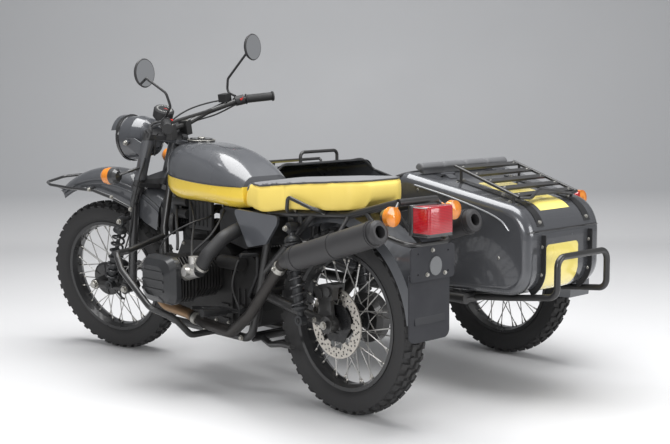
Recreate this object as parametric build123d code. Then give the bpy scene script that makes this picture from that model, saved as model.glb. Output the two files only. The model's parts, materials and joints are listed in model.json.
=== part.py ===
from build123d import *
from functools import cache
import math
import os

# A full-size motorcycle with a sidecar on its right. Millimetres, +X forward, +Y to the rider's left, +Z up,
# ground at Z = 0. While it is built X = 0 is the rear axle and Y = 0 the motorcycle's centre plane.

# Driving dimensions
WHEELBASE = 1500.0
WHEEL_R = 341.0  # tyre outer radius
TYRE_W = 104.0
SIDE_WHEEL_X = 246.0  # sidecar wheel ahead of the rear axle
TRACK = 1161.0  # sidecar wheel to the centre plane
RAKE = 30.0  # steering axis back from the vertical, degrees
TRAIL = 61.0
STEER_REST = 18.15  # parked with the bars turned left
STEER_LOCK = 38.0  # each side of straight ahead
RUN = 0.05  # radial clearance of a running fit
SEAT = 0.3  # gap where a curved face lies on its seat

# Wheel
RIM_R = 243.0  # tyre bed
RIM_FLANGE_R = 254.0
RIM_HALF = 35.0
HUB_R = 32.0
HUB_HALF = 58.0
HUB_FLANGE_R = 60.0
SPOKES_PER_SIDE = 20
SPOKE_D = 4.6
AXLE_R = 10.0
DISC_R = 128.0
DISC_Y = 66.0  # brake disc's middle, from the wheel's centre plane
DISC_T = 5.0

# Frame and engine
TUBE_D = 32.0
RAIL_D = 26.0
BACKBONE_D = 44.0
CRADLE_Y = 115.0
CRADLE_Z = 222.0
PIVOT = (366.0, 402.0)  # swinging arm pivot, X and Z
HEAD_R = 25.0
HEAD_Z = (775.0, 932.0)
CYL_X = 700.0
CYL_Z = 447.0
COVER_Y = 375.0  # outer end of the rocker covers
FINS = 9
STARTER_D = 54.0
CASE_HALF = 92.0

# Sidecar body
TUB_Y = -690.0
TUB_HALF = 298.0
TUB_WALL = 2.5
BULKHEAD_X = 20.0
LID_Z = 643.0
LID_GAP = 0.5
COCKPIT_X = (130.0, 900.0)
LID_OPEN = 75.0
SIDE_TUBE_D = 42.0
SIDE_TUBE_Z = 385.0
SIDE_TUBE_Y = (-440.0, -915.0)
TAIL_X = (-431.0, 100.0)  # the body's back and the coaming behind the seat
TAIL_HALF = (218.0, 300.0)  # half width there
TAIL_TOP = (730.0, 844.0)  # top line there
TUB_LOW = 413.0  # underside
TAIL_LOW_R = 100.0
TAIL_TOP_R = 132.0
TAIL_EDGE_R = 36.0  # rounding between the sides and the top
LID_HALF = (180.0, 240.0)  # half width of the trunk lid at the back and at its hinge
KNUCKLE_R = 7.0
HINGE_PIN_R = 3.0
RACK_RISE = 0.32
RACK_Y = 173.0

# X, half width, underside, top, lower and upper corner radius of the sidecar's nose
NOSE_SECTIONS = [
    (900.0, 298.0, TUB_LOW, 832.0, 60.0, 48.0),
    (1150.0, 262.0, 428.0, 804.0, 60.0, 50.0),
    (1400.0, 190.0, 468.0, 765.0, 60.0, 52.0),
    (1560.0, 110.0, 545.0, 712.0, 50.0, 50.0),
]

# X, half width, underside, top, lower and upper corner radius of the fuel tank
TANK_SECTIONS = [
    (1005.0, 66.0, 800.0, 926.0, 30.0, 55.0),
    (960.0, 118.0, 752.0, 943.0, 45.0, 90.0),
    (800.0, 158.0, 730.0, 954.0, 50.0, 125.0),
    (620.0, 150.0, 724.0, 924.0, 50.0, 115.0),
    (470.0, 112.0, 722.0, 838.0, 40.0, 50.0),
]


def side_face(outline, y):
    """A face in a side view: outline holds X, Z points."""
    return Plane(origin=(0, y, 0), x_dir=(1, 0, 0), z_dir=(0, -1, 0)) * make_face(outline)


def side_plate(points, y0, y1, radius=0.0):
    """A plate between y0 and y1 with a side-view outline of X, Z points."""
    wire = FilletPolyline(*points, radius=radius, close=True) if radius else Polyline(*points, close=True)
    return extrude(side_face(wire, max(y0, y1)), abs(y1 - y0))


def rod(start, end, diameter):
    start, end = Vector(start), Vector(end)
    length = (end - start).length
    return extrude(Plane(origin=start, z_dir=end - start) * Circle(diameter / 2), length)


def tube(points, diameter, bend):
    """A round bar along straight runs joined by bends."""
    path = FilletPolyline(*points, radius=bend)
    return sweep(Plane(origin=path @ 0, z_dir=path % 0) * Circle(diameter / 2), path=path)


def lathe(profile, x=0.0, y=0.0, z=0.0):
    """A body turned about an axis along Y; profile holds radius, y pairs."""
    return Pos(x, y, z) * revolve(make_face(Polyline(*profile, close=True)), Axis.Y)


def both(make):
    """The same piece on the left and the right."""
    return [make(1.0), make(-1.0)]


def join(*shapes):
    flat = []
    for shape in shapes:
        flat.extend(shape if isinstance(shape, list) else [shape])
    whole = flat[0]
    if len(flat) > 1:
        whole = whole.fuse(*flat[1:])
    return whole


def group(*shapes):
    """Separate solids of one node."""
    solids = []
    for shape in shapes:
        for piece in shape if isinstance(shape, list) else [shape]:
            solids.extend(piece.solids())
    return Compound(solids)


def box(x, y, z):
    """A block from ranges along X, Y and Z."""
    return Pos(x[0], y[0], z[0]) * Box(
        x[1] - x[0], y[1] - y[0], z[1] - z[0], align=(Align.MIN, Align.MIN, Align.MIN)
    )


def steering_x(z):
    """X of the steering axis at a height."""
    return WHEELBASE + TRAIL - z * math.tan(math.radians(RAKE))


STEER_AXIS = Axis((steering_x(0), 0, 0), (-math.sin(math.radians(RAKE)), 0, math.cos(math.radians(RAKE))))


def across(x, half, low, high, low_r, high_r, y=0.0):
    """A body section at X: a rectangle with its own lower and upper corner radii."""
    points = [(y - half, low), (y + half, low), (y + half, high), (y - half, high)]
    wire = FilletPolyline(*points, radius=[low_r, low_r, high_r, high_r], close=True)
    return Plane(origin=(x, 0, 0), x_dir=(0, 1, 0), z_dir=(1, 0, 0)) * make_face(wire)


# ---------------------------------------------------------------- wheels


def tyre():
    bead = RIM_HALF - 4
    half = TYRE_W / 2
    right_wall = ThreePointArc((RIM_FLANGE_R, -bead), (296, -half), (328, -half + 8))
    tread = ThreePointArc((328, -half + 8), (WHEEL_R, 0), (328, half - 8))
    left_wall = ThreePointArc((328, half - 8), (296, half), (RIM_FLANGE_R, bead))
    bed = Polyline((RIM_FLANGE_R, bead), (RIM_R, bead), (RIM_R, -bead), (RIM_FLANGE_R, -bead))
    return revolve(make_face(right_wall + tread + left_wall + bed), Axis.Y)


def spoke(side, index):
    step = 2 * math.pi / SPOKES_PER_SIDE
    start = index * step + (step / 2 if side < 0 else 0)
    lean = math.radians(38) * (1 if index % 2 else -1)
    inner = (HUB_FLANGE_R - 6) * Vector(math.cos(start), 0, math.sin(start)) + Vector(0, 38 * side, 0)
    outer = (RIM_R - 13) * Vector(math.cos(start + lean), 0, math.sin(start + lean)) + Vector(0, 9 * side, 0)
    line = outer - inner
    return extrude(Plane(origin=inner, z_dir=line) * RegularPolygon(SPOKE_D / 2, 6), line.length)


def wheel():
    rim = [
        (RIM_R - 14, -14), (RIM_R - 3, -RIM_HALF), (RIM_FLANGE_R, -RIM_HALF), (RIM_FLANGE_R, -RIM_HALF + 4),
        (RIM_R, -RIM_HALF + 4), (RIM_R, RIM_HALF - 4), (RIM_FLANGE_R, RIM_HALF - 4), (RIM_FLANGE_R, RIM_HALF),
        (RIM_R - 3, RIM_HALF), (RIM_R - 14, 14),
    ]
    half, flange = HUB_HALF, HUB_FLANGE_R
    hub = [
        (AXLE_R + RUN, -half), (HUB_R - 6, -half), (HUB_R, -44), (flange, -41), (flange, -35), (HUB_R, -28),
        (HUB_R, 28), (flange, 35), (flange, 41), (HUB_R, 44), (HUB_R - 6, half), (AXLE_R + RUN, half),
    ]
    spokes = [spoke(side, i) for side in (1, -1) for i in range(SPOKES_PER_SIDE)]
    return lathe(rim).fuse(lathe(hub), *spokes)


def brake_disc():
    """A drilled disc with three lobed windows, bolted to the hub's left flange."""
    low, high = DISC_Y - DISC_T / 2, DISC_Y + DISC_T / 2
    disc = lathe([(38, low), (DISC_R, low), (DISC_R, high), (38, high)])
    window = Pos(0, DISC_Y, 0) * Rot(90, 0, 0) * (Pos(0, 78, -DISC_T) * extrude(SlotCenterToCenter(46, 22), 2 * DISC_T))
    windows = [window.rotate(Axis.Y, 60 * i) for i in range(6)]
    drill = Pos(0, DISC_Y, 0) * Rot(90, 0, 0) * (Pos(0, 112, -DISC_T) * extrude(RegularPolygon(5, 6), 2 * DISC_T))
    drills = [drill.rotate(Axis.Y, 20 * i) for i in range(18)]
    carrier = lathe([(HUB_R - 4, 45.5), (56, 45.5), (56, low), (HUB_R - 4, low)])
    return disc.cut(*windows, *drills).fuse(carrier)


# ---------------------------------------------------------------- frame


def frame():
    def cradle(s):
        return tube([
            (1062, s * 22, 850), (1040, s * 86, 600), (985, s * CRADLE_Y, CRADLE_Z),
            (430, s * CRADLE_Y, CRADLE_Z), (358, s * 122, 430), (300, s * 112, 722),
        ], TUBE_D, 60)

    def rail(s):
        return tube([(304, s * 112, 716), (-120, s * 112, 742), (-335, s * 92, 798)], RAIL_D, 150)

    def strut(s):
        return rod((352, s * 118, 480), (70, s * 112, 728), RAIL_D)

    def shock_ear(s):
        return rod((134, s * 112, 727), (134, s * 112, 690), RAIL_D).fuse(
            rod((134, s * 112, 690), (134, s * 176, 680), 18))

    backbone = tube([(1050, 0, 880), (820, 0, 806), (302, 0, 722)], BACKBONE_D, 200)
    seat_cross = rod((302, -112, 719), (302, 112, 719), RAIL_D)
    tail_cross = rod((-335, -92, 798), (-335, 92, 798), RAIL_D)
    front_cross = rod((1038, -88, 590), (1038, 88, 590), RAIL_D)
    low_cross = rod((470, -CRADLE_Y, CRADLE_Z), (470, CRADLE_Y, CRADLE_Z), RAIL_D)
    head = rod((steering_x(HEAD_Z[0]), 0, HEAD_Z[0]), (steering_x(HEAD_Z[1]), 0, HEAD_Z[1]), 2 * HEAD_R)
    bore = rod((steering_x(700), 0, 700), (steering_x(1000), 0, 1000), 2 * (STEM_R + RUN))
    return join(both(cradle), both(rail), both(strut), both(shock_ear), backbone, seat_cross, tail_cross,
                front_cross, low_cross, head).cut(bore)


STEM_R = 13.0
SWING_Y = 100.0
PAD_GAP = 5.5


def swingarm():
    """Rear swinging arm with its pivot tube, the axle, the brake caliper and the shaft drive's bevel box."""
    def arm(s):
        return rod((PIVOT[0], s * SWING_Y, PIVOT[1]), (20, s * SWING_Y, WHEEL_R + 3), 38).fuse(
            rod((0, s * (SWING_Y - 19), WHEEL_R), (0, s * (SWING_Y + 19), WHEEL_R), 62),
            rod((60, s * SWING_Y, 352), (85, s * 176, 352), 16))

    def sector(low, high, reach):
        ends = [(reach * math.cos(math.radians(a)), WHEEL_R + reach * math.sin(math.radians(a))) for a in (low, high)]
        return side_plate([(0, WHEEL_R), *ends], 0, 150)

    pivot = rod((PIVOT[0], -SWING_Y, PIVOT[1]), (PIVOT[0], SWING_Y, PIVOT[1]), 44)
    axle = rod((0, -SWING_Y, WHEEL_R), (0, SWING_Y + 30, WHEEL_R), 2 * AXLE_R)
    bevel = lathe([(0, -64), (72, -64), (92, -78), (92, -112), (60, -130), (0, -130)], 0, 0, WHEEL_R)
    inner, outer = DISC_Y - DISC_T / 2 - PAD_GAP, DISC_Y + DISC_T / 2 + PAD_GAP
    ring = lathe([(DISC_R - 40, inner - 11), (DISC_R + 18, inner - 11), (DISC_R + 18, 104), (DISC_R - 40, 104)], 0, 0, WHEEL_R)
    slot = lathe([(0, inner), (DISC_R + PAD_GAP, inner), (DISC_R + PAD_GAP, outer), (0, outer)], 0, 0, WHEEL_R)
    caliper = (ring & sector(56, 100, 220)).cut(slot)
    pistons = [rod((r * math.cos(a), 104, WHEEL_R + r * math.sin(a)), (r * math.cos(a), 112, WHEEL_R + r * math.sin(a)), 36)
               for r, a in ((DISC_R - 12, math.radians(68)), (DISC_R - 12, math.radians(88)))]
    hanger = side_plate([(-20, 350), (58, 350), (52, 436), (-8, 436)], 88, 104)
    return join(both(arm), pivot, axle, bevel, caliper, pistons, hanger)


def spring_unit(bottom, top, width, turns):
    """A coil spring over its damper between two eyes across the machine."""
    bottom, top = Vector(bottom), Vector(top)
    length = (top - bottom).length
    lower, upper = 46.0, length - 46.0
    pitch = (upper - lower) / turns
    r = width / 2
    profile = [(0, 14), (13, 14), (13, lower - 14), (r, lower - 8), (r, lower)]
    for i in range(turns):
        z = lower + i * pitch
        profile += [(r - 7, z + pitch * 0.15), (r, z + pitch * 0.5), (r - 7, z + pitch * 0.85)]
    profile += [(r, upper), (r, upper + 8), (13, upper + 16), (13, length - 14), (0, length - 14)]
    body = revolve(Plane.XZ * make_face(Polyline(*profile, close=True)), Axis.Z)
    eye = extrude(Plane.XZ.offset(-14) * Circle(20), 28) - extrude(Plane.XZ.offset(-15) * Circle(EYE_R), 30)
    unit = body.fuse(eye, Pos(0, 0, length) * eye)
    hole = extrude(Plane.XZ.offset(-15) * Circle(EYE_R), 30)
    unit = unit.cut(hole, Pos(0, 0, length) * hole)
    return Plane(origin=bottom, x_dir=(top - bottom).cross(Vector(0, 1, 0)), z_dir=top - bottom) * unit


EYE_R = 9.2


# ---------------------------------------------------------------- engine


def engine_case():
    """Crankcase, gearbox and the generator on top, between the cradle tubes."""
    crank = side_plate([(575, 245), (905, 245), (955, 300), (955, 470), (900, 560), (640, 575), (575, 540)],
                       -CASE_HALF, CASE_HALF, 28)
    gearbox = side_plate([(420, 262), (576, 262), (576, 520), (500, 555), (445, 520), (402, 440), (402, 330)],
                         -78, 78, 22)
    sump = box((600, 880), (-72, 72), (231, 247))
    front = Pos(955, 0, 400) * extrude(Plane.YZ * Circle(78), 28)
    front_ribs = [Pos(983, 0, 400) * Rot(45 * i, 0, 0) * Box(8, 12, 130) for i in range(4)]
    hub = Pos(983, 0, 400) * extrude(Plane.YZ * Circle(34), 10)
    generator = Pos(752, 0, 596) * extrude(Plane.YZ * Circle(48), 190)
    bands = [Pos(x, 0, 596) * extrude(Plane.YZ * Circle(51), 9) for x in (786, 900)]
    starter = rod((478, 118, 505), (604, 118, 505), STARTER_D)
    starter_nose = rod((604, 118, 505), (612, 118, 505), STARTER_D - 18)
    side_cover = [rod((845, s * CASE_HALF, 395), (845, s * (CASE_HALF + 9), 395), 116) for s in (1, -1)]
    case_ribs = [box((590, 640), sorted((s * (CASE_HALF - 1), s * (CASE_HALF + 7))), (z - 4, z + 4))
                 for z in (272, 300, 328) for s in (1, -1)]
    gear_ribs = [box((x - 4, x + 4), sorted((s * 77, s * 84)), (285, 400)) for x in (432, 470, 508, 546) for s in (1, -1)]
    filler = rod((520, 92, 262 + 60), (520, 70, 262 + 60), 34)
    saddle = box((770, 925), (-40, 40), (545, 590))
    flanges = [rod((CYL_X, s * CASE_HALF, CYL_Z), (CYL_X, s * (CASE_HALF + 14), CYL_Z), 150) for s in (1, -1)]
    mount = rod((700, -CRADLE_Y + 8, 232), (700, CRADLE_Y - 8, 232), 22)
    return join(crank, gearbox, sump, front, front_ribs, hub, generator, bands, saddle, flanges, mount, starter,
                starter_nose, side_cover, case_ribs, gear_ribs, filler)


def cylinder(s):
    """A finned barrel and head with its axis along Y."""
    def slab(y, thick, w, h, corner):
        face = Plane(origin=(CYL_X, y, CYL_Z), x_dir=(1, 0, 0), z_dir=(0, s, 0)) * chamfer(
            Rectangle(w, h).vertices(), corner)
        return extrude(face, thick)

    start = CASE_HALF + 14
    pitch = (BARREL_Y - start) / FINS
    barrel = rod((CYL_X, s * start, CYL_Z), (CYL_X, s * BARREL_Y, CYL_Z), 112)
    fins = [slab(s * (start + (i + 0.5) * pitch), 4, 172, 168, 44) for i in range(FINS)]
    head = slab(s * BARREL_Y, HEAD_Y - BARREL_Y, 132, 140, 24)
    head_fins = [slab(s * (BARREL_Y + 6 + i * 15), 5, 196, 178, 26) for i in range(5)]
    tubes = [rod((CYL_X + dx, s * start, CYL_Z - 66), (CYL_X + dx, s * BARREL_Y, CYL_Z - 66), 22)
             for dx in (-34, 34)]
    return join(barrel, fins, head, head_fins, tubes)


BARREL_Y = 236.0
HEAD_Y = 316.0


def cylinders():
    return group(both(cylinder))


def rocker_cover(s):
    steps = [(HEAD_Y, 206, 184, 40), (HEAD_Y + 22, 206, 184, 40), (COVER_Y - 14, 186, 164, 44), (COVER_Y, 138, 116, 40)]
    sections = [
        Plane(origin=(CYL_X, s * y, CYL_Z), x_dir=(1, 0, 0), z_dir=(0, -1, 0)) * RectangleRounded(w, h, r)
        for y, w, h, r in steps
    ]
    ribs = [box((CYL_X - 70, CYL_X + 70), sorted((s * (COVER_Y - 6), s * (COVER_Y + 5))), (z - 5, z + 5))
            for z in (CYL_Z - 34, CYL_Z, CYL_Z + 34)]
    return join(loft(sections[:2], ruled=True), loft(sections[1:], ruled=True), ribs)


def rocker_covers():
    return group(both(rocker_cover))


def airbox():
    return side_plate([(470, 560), (640, 590), (640, 700), (600, 716), (455, 706), (455, 600)], -96, 96, 14)


INTAKE_Y = 284.0


def intakes():
    """Throttle bodies on the heads with their rubber elbows to the airbox."""
    def one(s):
        body = rod((604, s * INTAKE_Y, 480), (520, s * INTAKE_Y, 500), 58)
        flange = rod((612, s * INTAKE_Y, 478), (602, s * INTAKE_Y, 480.4), 62)
        cap = rod((560, s * INTAKE_Y, 491), (560, s * INTAKE_Y, 545), 38)
        wheel_cover = rod((560, s * INTAKE_Y, 491), (560, s * 330, 491), 34)
        elbow = tube([(520, s * INTAKE_Y, 500), (484, s * 276, 556), (468, s * 210, 618), (500, s * 97, 644)], 54, 34)
        return join(body, flange, cap, wheel_cover, elbow)
    return group(both(one))


def exhaust_pipes():
    def one(s):
        return tube([
            (CYL_X + 88, s * 276, CYL_Z - 34), (CYL_X + 150, s * 266, 388), (CYL_X + 128, s * 236, 318),
            (690, s * 222, 300), (600, s * 208, 272), (430, s * 208, 262), (300, s * 222, 350),
            (SILENCER_FRONT[0], s * 230, SILENCER_FRONT[1]),
        ], 42, 40)
    return group(both(one))


SILENCER_FRONT = (96.0, 569.0)
SILENCER_REAR = (-391.0, 720.0)


def silencers():
    def one(s):
        front = Vector(SILENCER_FRONT[0], s * 230, SILENCER_FRONT[1])
        rear = Vector(SILENCER_REAR[0], s * 230, SILENCER_REAR[1])
        length = (rear - front).length
        profile = [(0, 0), (22, 0), (44, 62), (44, length - 26), (40, length - 26), (40, length - 6), (30, length),
                   (21, length), (21, length - 40), (0, length - 40)]
        can = revolve(Plane.XZ * make_face(Polyline(*profile, close=True)), Axis.Z)
        stay = rod((-120, s * 112, 742), (-120, s * 190, 650), 14)
        return (Plane(origin=front, z_dir=rear - front) * can).fuse(stay)
    return group(both(one))


# ---------------------------------------------------------------- tank, seat and tail


def fuel_tank():
    shape = loft([across(*row) for row in TANK_SECTIONS])
    tunnel = side_plate([(400, 690), (1040, 690), (1040, 876), (820, 806), (400, 738)], -BACKBONE_D / 2, BACKBONE_D / 2)
    head_room = rod((steering_x(700), 0, 700), (steering_x(1000), 0, 1000), 2 * (HEAD_R + 12))
    return shape.cut(tunnel, head_room)


def tank_cap():
    plane = Plane(origin=(885, 0, 953), x_dir=(1, 0, 0), z_dir=(-0.04, 0, 1))
    return plane * join(extrude(Circle(57), 8), Pos(0, 0, 8) * extrude(Circle(48), 8, taper=20))


def seat():
    outline = [
        (462, 800), (440, 821), (268, 844), (-5, 863), (-120, 867), (-168, 864), (-177, 842), (-176, 784),
        (-166, 766), (-140, 759), (177, 741), (309, 720), (452, 730),
    ]
    block = side_plate(outline, -152, 152)
    plan = make_face(FilletPolyline((462, -105), (462, 105), (330, 150), (-62, 150), (-134, 124), (-177, 66),
                                    (-177, -66), (-134, -124), (-62, -150), (330, -150), radius=12, close=True))
    return block & (Pos(0, 0, 650) * extrude(plan, 300))


def side_covers():
    def one(s):
        return side_plate([(500, 720), (232, 712), (240, 680), (304, 602), (412, 580)], s * 128, s * 140, 14)
    return group(both(one))


def rear_fender():
    """A curved steel guard over the rear wheel, flanged down its sides."""
    outer, inner = WHEEL_R + 58, WHEEL_R + 55
    ring = lathe([(inner, -70), (inner, 70), (inner - 34, 74), (inner - 34, 77), (outer, 73), (outer, -73),
                  (inner - 34, -77), (inner - 34, -74)], 0, 0, WHEEL_R)
    keep = side_plate([(-15, 341), (-700, 430), (-700, 900), (300, 900), (215, 560)], -100, 100)
    return ring & keep


def mudflap():
    """Rubber flap with the bracket for a rear plate."""
    flap = extrude(across(-392, 98, 330, 560, 28, 5), 6)
    holder = extrude(across(-408, PLATE_HALF, 540, 655, 14, 14), 6)
    neck = side_plate([(-408, 640), (-402, 640), (-386, 700), (-392, 700)], -46, 46)
    shelf = box((-403, -386), (-60, 60), (545, 560))
    holes = [rod((-420, y, z), (-395, y, z), 2 * PLATE_HOLE_R) for y in (-PLATE_BOLTS[0] / 2, PLATE_BOLTS[0] / 2)
             for z in (598 - PLATE_BOLTS[1] / 2, 598 + PLATE_BOLTS[1] / 2)]
    return join(flap, holder, neck, shelf).cut(*holes)


def tail_lamp():
    """Two stacked lenses in a rounded housing on the fender's tail."""
    lenses = [extrude(across(-446, 59, low, high, 16, 16), 34) for low, high in ((690, 737), (741, 788))]
    housing = extrude(across(-430, 63, 684, 794, 20, 20), 24)
    return join(lenses, housing, extrude(across(-407, 48, 700, 778, 10, 10), 15))


def rear_rail():
    """Grab rail round the seat's tail and the bar that carries the lamps."""
    grab = tube([(150, 118, 735), (150, 166, 738), (140, 168, 792), (20, 168, 762), (-10, 150, 752), (-10, 112, 740)], 14, 14)
    tail = tube([(-200, 108, 757), (-272, 112, 690), (-400, 100, 660), (-400, -100, 660), (-272, -112, 690),
                 (-200, -108, 757)], 18, 40)
    return group(grab, tail)


PLATE_HALF = 105.0
PLATE_BOLTS = (146.0, 70.0)
PLATE_HOLE_R = 3.25


def rear_indicators():
    def one(s):
        stem = rod((-336, s * 93, 797), (-354, s * 132, 763), 12)
        lamp = Plane(origin=(-358, s * 148, 759), x_dir=(0, 1, 0), z_dir=(-1, 0, 0))
        body = revolve(Plane.XZ * make_face(Polyline((0, -34), (22, -30), (33, -6), (33, 12), (0, 18), close=True)), Axis.Z)
        return join(stem, lamp * body)
    return group(both(one))


def rear_shocks():
    return group(both(lambda s: spring_unit((85, s * 160, 352), (134, s * 160, 681), 62, 7)))


def crash_bars():
    def one(s):
        loop_bar = tube([
            (1034, s * 90, 562), (1000, s * 300, 520), (930, s * 392, 530), (880, s * 400, 470), (700, s * 392, 345),
            (640, s * 320, 300), (650, s * 240, 222), (650, s * CRADLE_Y, CRADLE_Z),
        ], 25, 45)
        return loop_bar
    return one(1)


def foot_controls():
    """Foot pegs with the gear and brake levers and the kick lever."""
    pegs = [rod((505, s * 78, 318), (505, s * 285, 335), 16).fuse(rod((505, s * 180, 327), (505, s * 290, 336), 30))
            for s in (1, -1)]
    lever = tube([(450, 150, 330), (560, 156, 330), (640, 190, 325), (642, 240, 330)], 13, 18)
    pedal = tube([(450, -150, 330), (560, -156, 330), (640, -190, 325), (642, -240, 330)], 13, 18)
    stubs = [rod((450, s * 78, 330), (450, s * 158, 330), 15) for s in (1, -1)]
    kick = tube([(455, 70, 380), (455, 105, 380), (380, 118, 480), (340, 150, 560), (340, 230, 566)], 15, 16)
    return group(pegs, lever.fuse(stubs[0]), pedal.fuse(stubs[1]), kick)


# ---------------------------------------------------------------- front end, modelled with the wheel straight


def fork():
    """Steering stem, both yokes and the two bent fork legs."""
    def leg(s):
        upper = rod((1104, s * FORK_Y, 1010), (1210, s * FORK_Y, 776), UPPER_LEG_D)
        collar = rod((1206, s * FORK_Y, 785), (1216, s * FORK_Y, 763), UPPER_LEG_D + 5)
        lower = tube([(1195, s * FORK_Y, 809), (1241, s * FORK_Y, 716), (1292, s * FORK_Y, 515),
                      (LINK_PIVOT[0], s * FORK_Y, LINK_PIVOT[1])], 38, 60)
        clevis = rod((LINK_PIVOT[0], s * 74, LINK_PIVOT[1]), (LINK_PIVOT[0], s * 114, LINK_PIVOT[1]), 50)
        return join(upper, collar, lower, clevis)

    def yoke(z, length):
        x = steering_x(z)
        plane = Plane(origin=(x, 0, z), x_dir=(math.cos(math.radians(RAKE)), 0, math.sin(math.radians(RAKE))),
                      z_dir=STEER_AXIS.direction)
        return plane * extrude(make_face(FilletPolyline(
            (-22, -15), (-22, 15), (14, 34), (length, 125), (length + 38, 108), (length + 20, 60), (length + 20, -60),
            (length + 38, -108), (length, -125), (14, -34), radius=9, close=True)), 22)

    stem = rod((steering_x(735), 0, 735), (steering_x(HEAD_Z[1] + 44), 0, HEAD_Z[1] + 44), 2 * STEM_R)
    shock_pin = [rod((1276, s * 92, 641), (1276, s * 172, 641), 18) for s in (1, -1)]
    return join(both(leg), stem, yoke(HEAD_Z[1] + 12, 88), yoke(HEAD_Z[0] - 28, 70), shock_pin)


LINK_PIVOT = (1330.0, 330.0)
FORK_Y = 95.0
UPPER_LEG_D = 50.0


def leading_link():
    """The pair of leading arms, their cross tube behind the tyre and the front axle."""
    def arm(s):
        bar = rod((LINK_PIVOT[0], s * 133, LINK_PIVOT[1]), (WHEELBASE, s * 133, WHEEL_R), 34)
        boss = rod((WHEELBASE, s * 78, WHEEL_R), (WHEELBASE, s * 150, WHEEL_R), 44)
        pivot = rod((LINK_PIVOT[0], s * 114, LINK_PIVOT[1]), (LINK_PIVOT[0], s * 152, LINK_PIVOT[1]), 46)
        ear = rod((1400, s * 133, 336), (1400, s * 176, 350), 18)
        return join(bar, boss, pivot, ear)
    axle = rod((WHEELBASE, -140, WHEEL_R), (WHEELBASE, 140, WHEEL_R), 2 * AXLE_R)
    face = HUB_HALF + 2.5
    brake_plate = lathe([(0, face), (76, face), (76, face + 6), (66, face + 14), (34, face + 16), (34, face + 22),
                         (0, face + 22)], WHEELBASE, 0, WHEEL_R)
    ribs = [Pos(WHEELBASE, face + 14, WHEEL_R) * Rot(0, 60 * i, 0) * Pos(0, 0, 50) * Box(7, 8, 36) for i in range(6)]
    cam = rod((WHEELBASE - 44, face + 8, WHEEL_R - 30), (WHEELBASE - 44, face + 34, WHEEL_R - 30), 18)
    cam_arm = tube([(WHEELBASE - 44, face + 31, WHEEL_R - 30), (WHEELBASE - 92, face + 31, WHEEL_R - 74),
                    (WHEELBASE - 104, face + 31, WHEEL_R - 80)], 9, 10)
    return join(both(arm), axle, brake_plate, ribs, cam, cam_arm)


def front_shocks():
    return group(both(lambda s: spring_unit((1400, s * 158, 350), (1276, s * 158, 641), 60, 6)))


def front_fender():
    """A round-crowned steel guard with side valances, beads along its shoulders and a tapered tip."""
    x, z = FENDER_AT
    r, wall = FENDER_R, 2.5
    shoulder, half = r - 62, FENDER_HALF
    crown = ThreePointArc((shoulder, -half), (r, 0), (shoulder, half))
    inner = ThreePointArc((shoulder, half - wall), (r - wall, 0), (shoulder, wall - half))
    left = Polyline((shoulder, half), (FENDER_LOW_R, half), (FENDER_LOW_R, half - wall), (shoulder, half - wall))
    right = Polyline((shoulder, wall - half), (FENDER_LOW_R, wall - half), (FENDER_LOW_R, -half), (shoulder, -half))
    shell = Pos(x, 0, z) * revolve(make_face(crown + left + inner + right), Axis.Y)
    beads = [lathe([(a, s * (y - 1.5)), (a + 6, s * (y - 1.5)), (a + 6, s * (y + 2)), (a, s * (y + 2))], x, 0, z)
             for s in (1, -1) for a, y in ((shoulder + 4, half), (shoulder + 21, half - 6))]
    edge = ThreePointArc((1735, 659), (1630, 728), (1500, 768))
    rest = Polyline((1500, 768), (1479, 754), (1390, 729), (1286, 683), (1222, 615), (1161, 582), (1140, 650), (1126, 740),
                    (1126, 900), (1800, 900), (1800, 717), (1735, 659))
    keep = extrude(side_face(edge + rest, 100), 200)
    plan = extrude(make_face(FilletPolyline((1050, -95), (1050, 95), (1640, 95), (1718, 44), (1768, 0), (1718, -44),
                                            (1640, -95), radius=24, close=True)), 1000)
    stays = [rod((1262, s * (half - 2), 700), (1262, s * (FORK_Y + 2), 700), 16) for s in (1, -1)]
    return join(join(shell, beads) & keep & plan, stays)


FENDER_AT = (1442.0, 351.0)  # centre of the front fender's curve, X and Z
FENDER_R = 486.0
FENDER_HALF = 78.0
FENDER_LOW_R = 344.0


def fender_rail():
    """The bent guard bar round the front fender, with the tabs that hold it."""
    side = [(1256, 104, 681), (1356, 106, 724), (1465, 106, 757), (1600, 106, 764), (1722, 100, 775), (1784, 56, 776)]
    other = [(x, -y, z) for x, y, z in reversed(side)]
    bar = tube(side + other, 13, 30)
    tabs = [rod((px, s * 104, pz), (px, s * (FENDER_HALF + 0.2), pz), 11) for px, pz in ((1356, 733), (1480, 762))
            for s in (1, -1)]
    noses = [rod((1700, s * 101, 773), (1688, s * 36, 738), 9) for s in (1, -1)]
    feet = [rod((1256, s * 104, 681), (1256, s * (FORK_Y + 12), 681), 20) for s in (1, -1)]
    return join(bar, tabs, noses, feet)


def headlamp():
    """A round shell, its peaked rim and lens, and the two ears that hold it to the fork."""
    shell = [(0, -80), (45, -76), (78, -52), (92, -10), (94, 52), (98, 54), (98, 66), (90, 72), (0, 78)]
    turned = revolve(Plane.XZ * make_face(Polyline(*shell, close=True)), Axis.Z)
    peak = (Pos(0, 0, 54) * (extrude(Circle(102), 36) - extrude(Circle(97), 36))) & Pos(0, 112, 72) * Box(240, 120, 60)
    plane = Plane(origin=(1230, 0, 968), x_dir=(0, 1, 0), z_dir=(1, 0, -0.04))
    ears = [side_plate([(1136, 905), (1128, 950), (1190, 985), (1240, 986), (1250, 962), (1222, 944), (1176, 912)],
                       s * 96, s * 101, 8).fuse(rod((1228, s * 86, 968), (1228, s * 114, 968), 22)) for s in (1, -1)]
    return join(plane * turned, plane * peak, ears)


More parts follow.
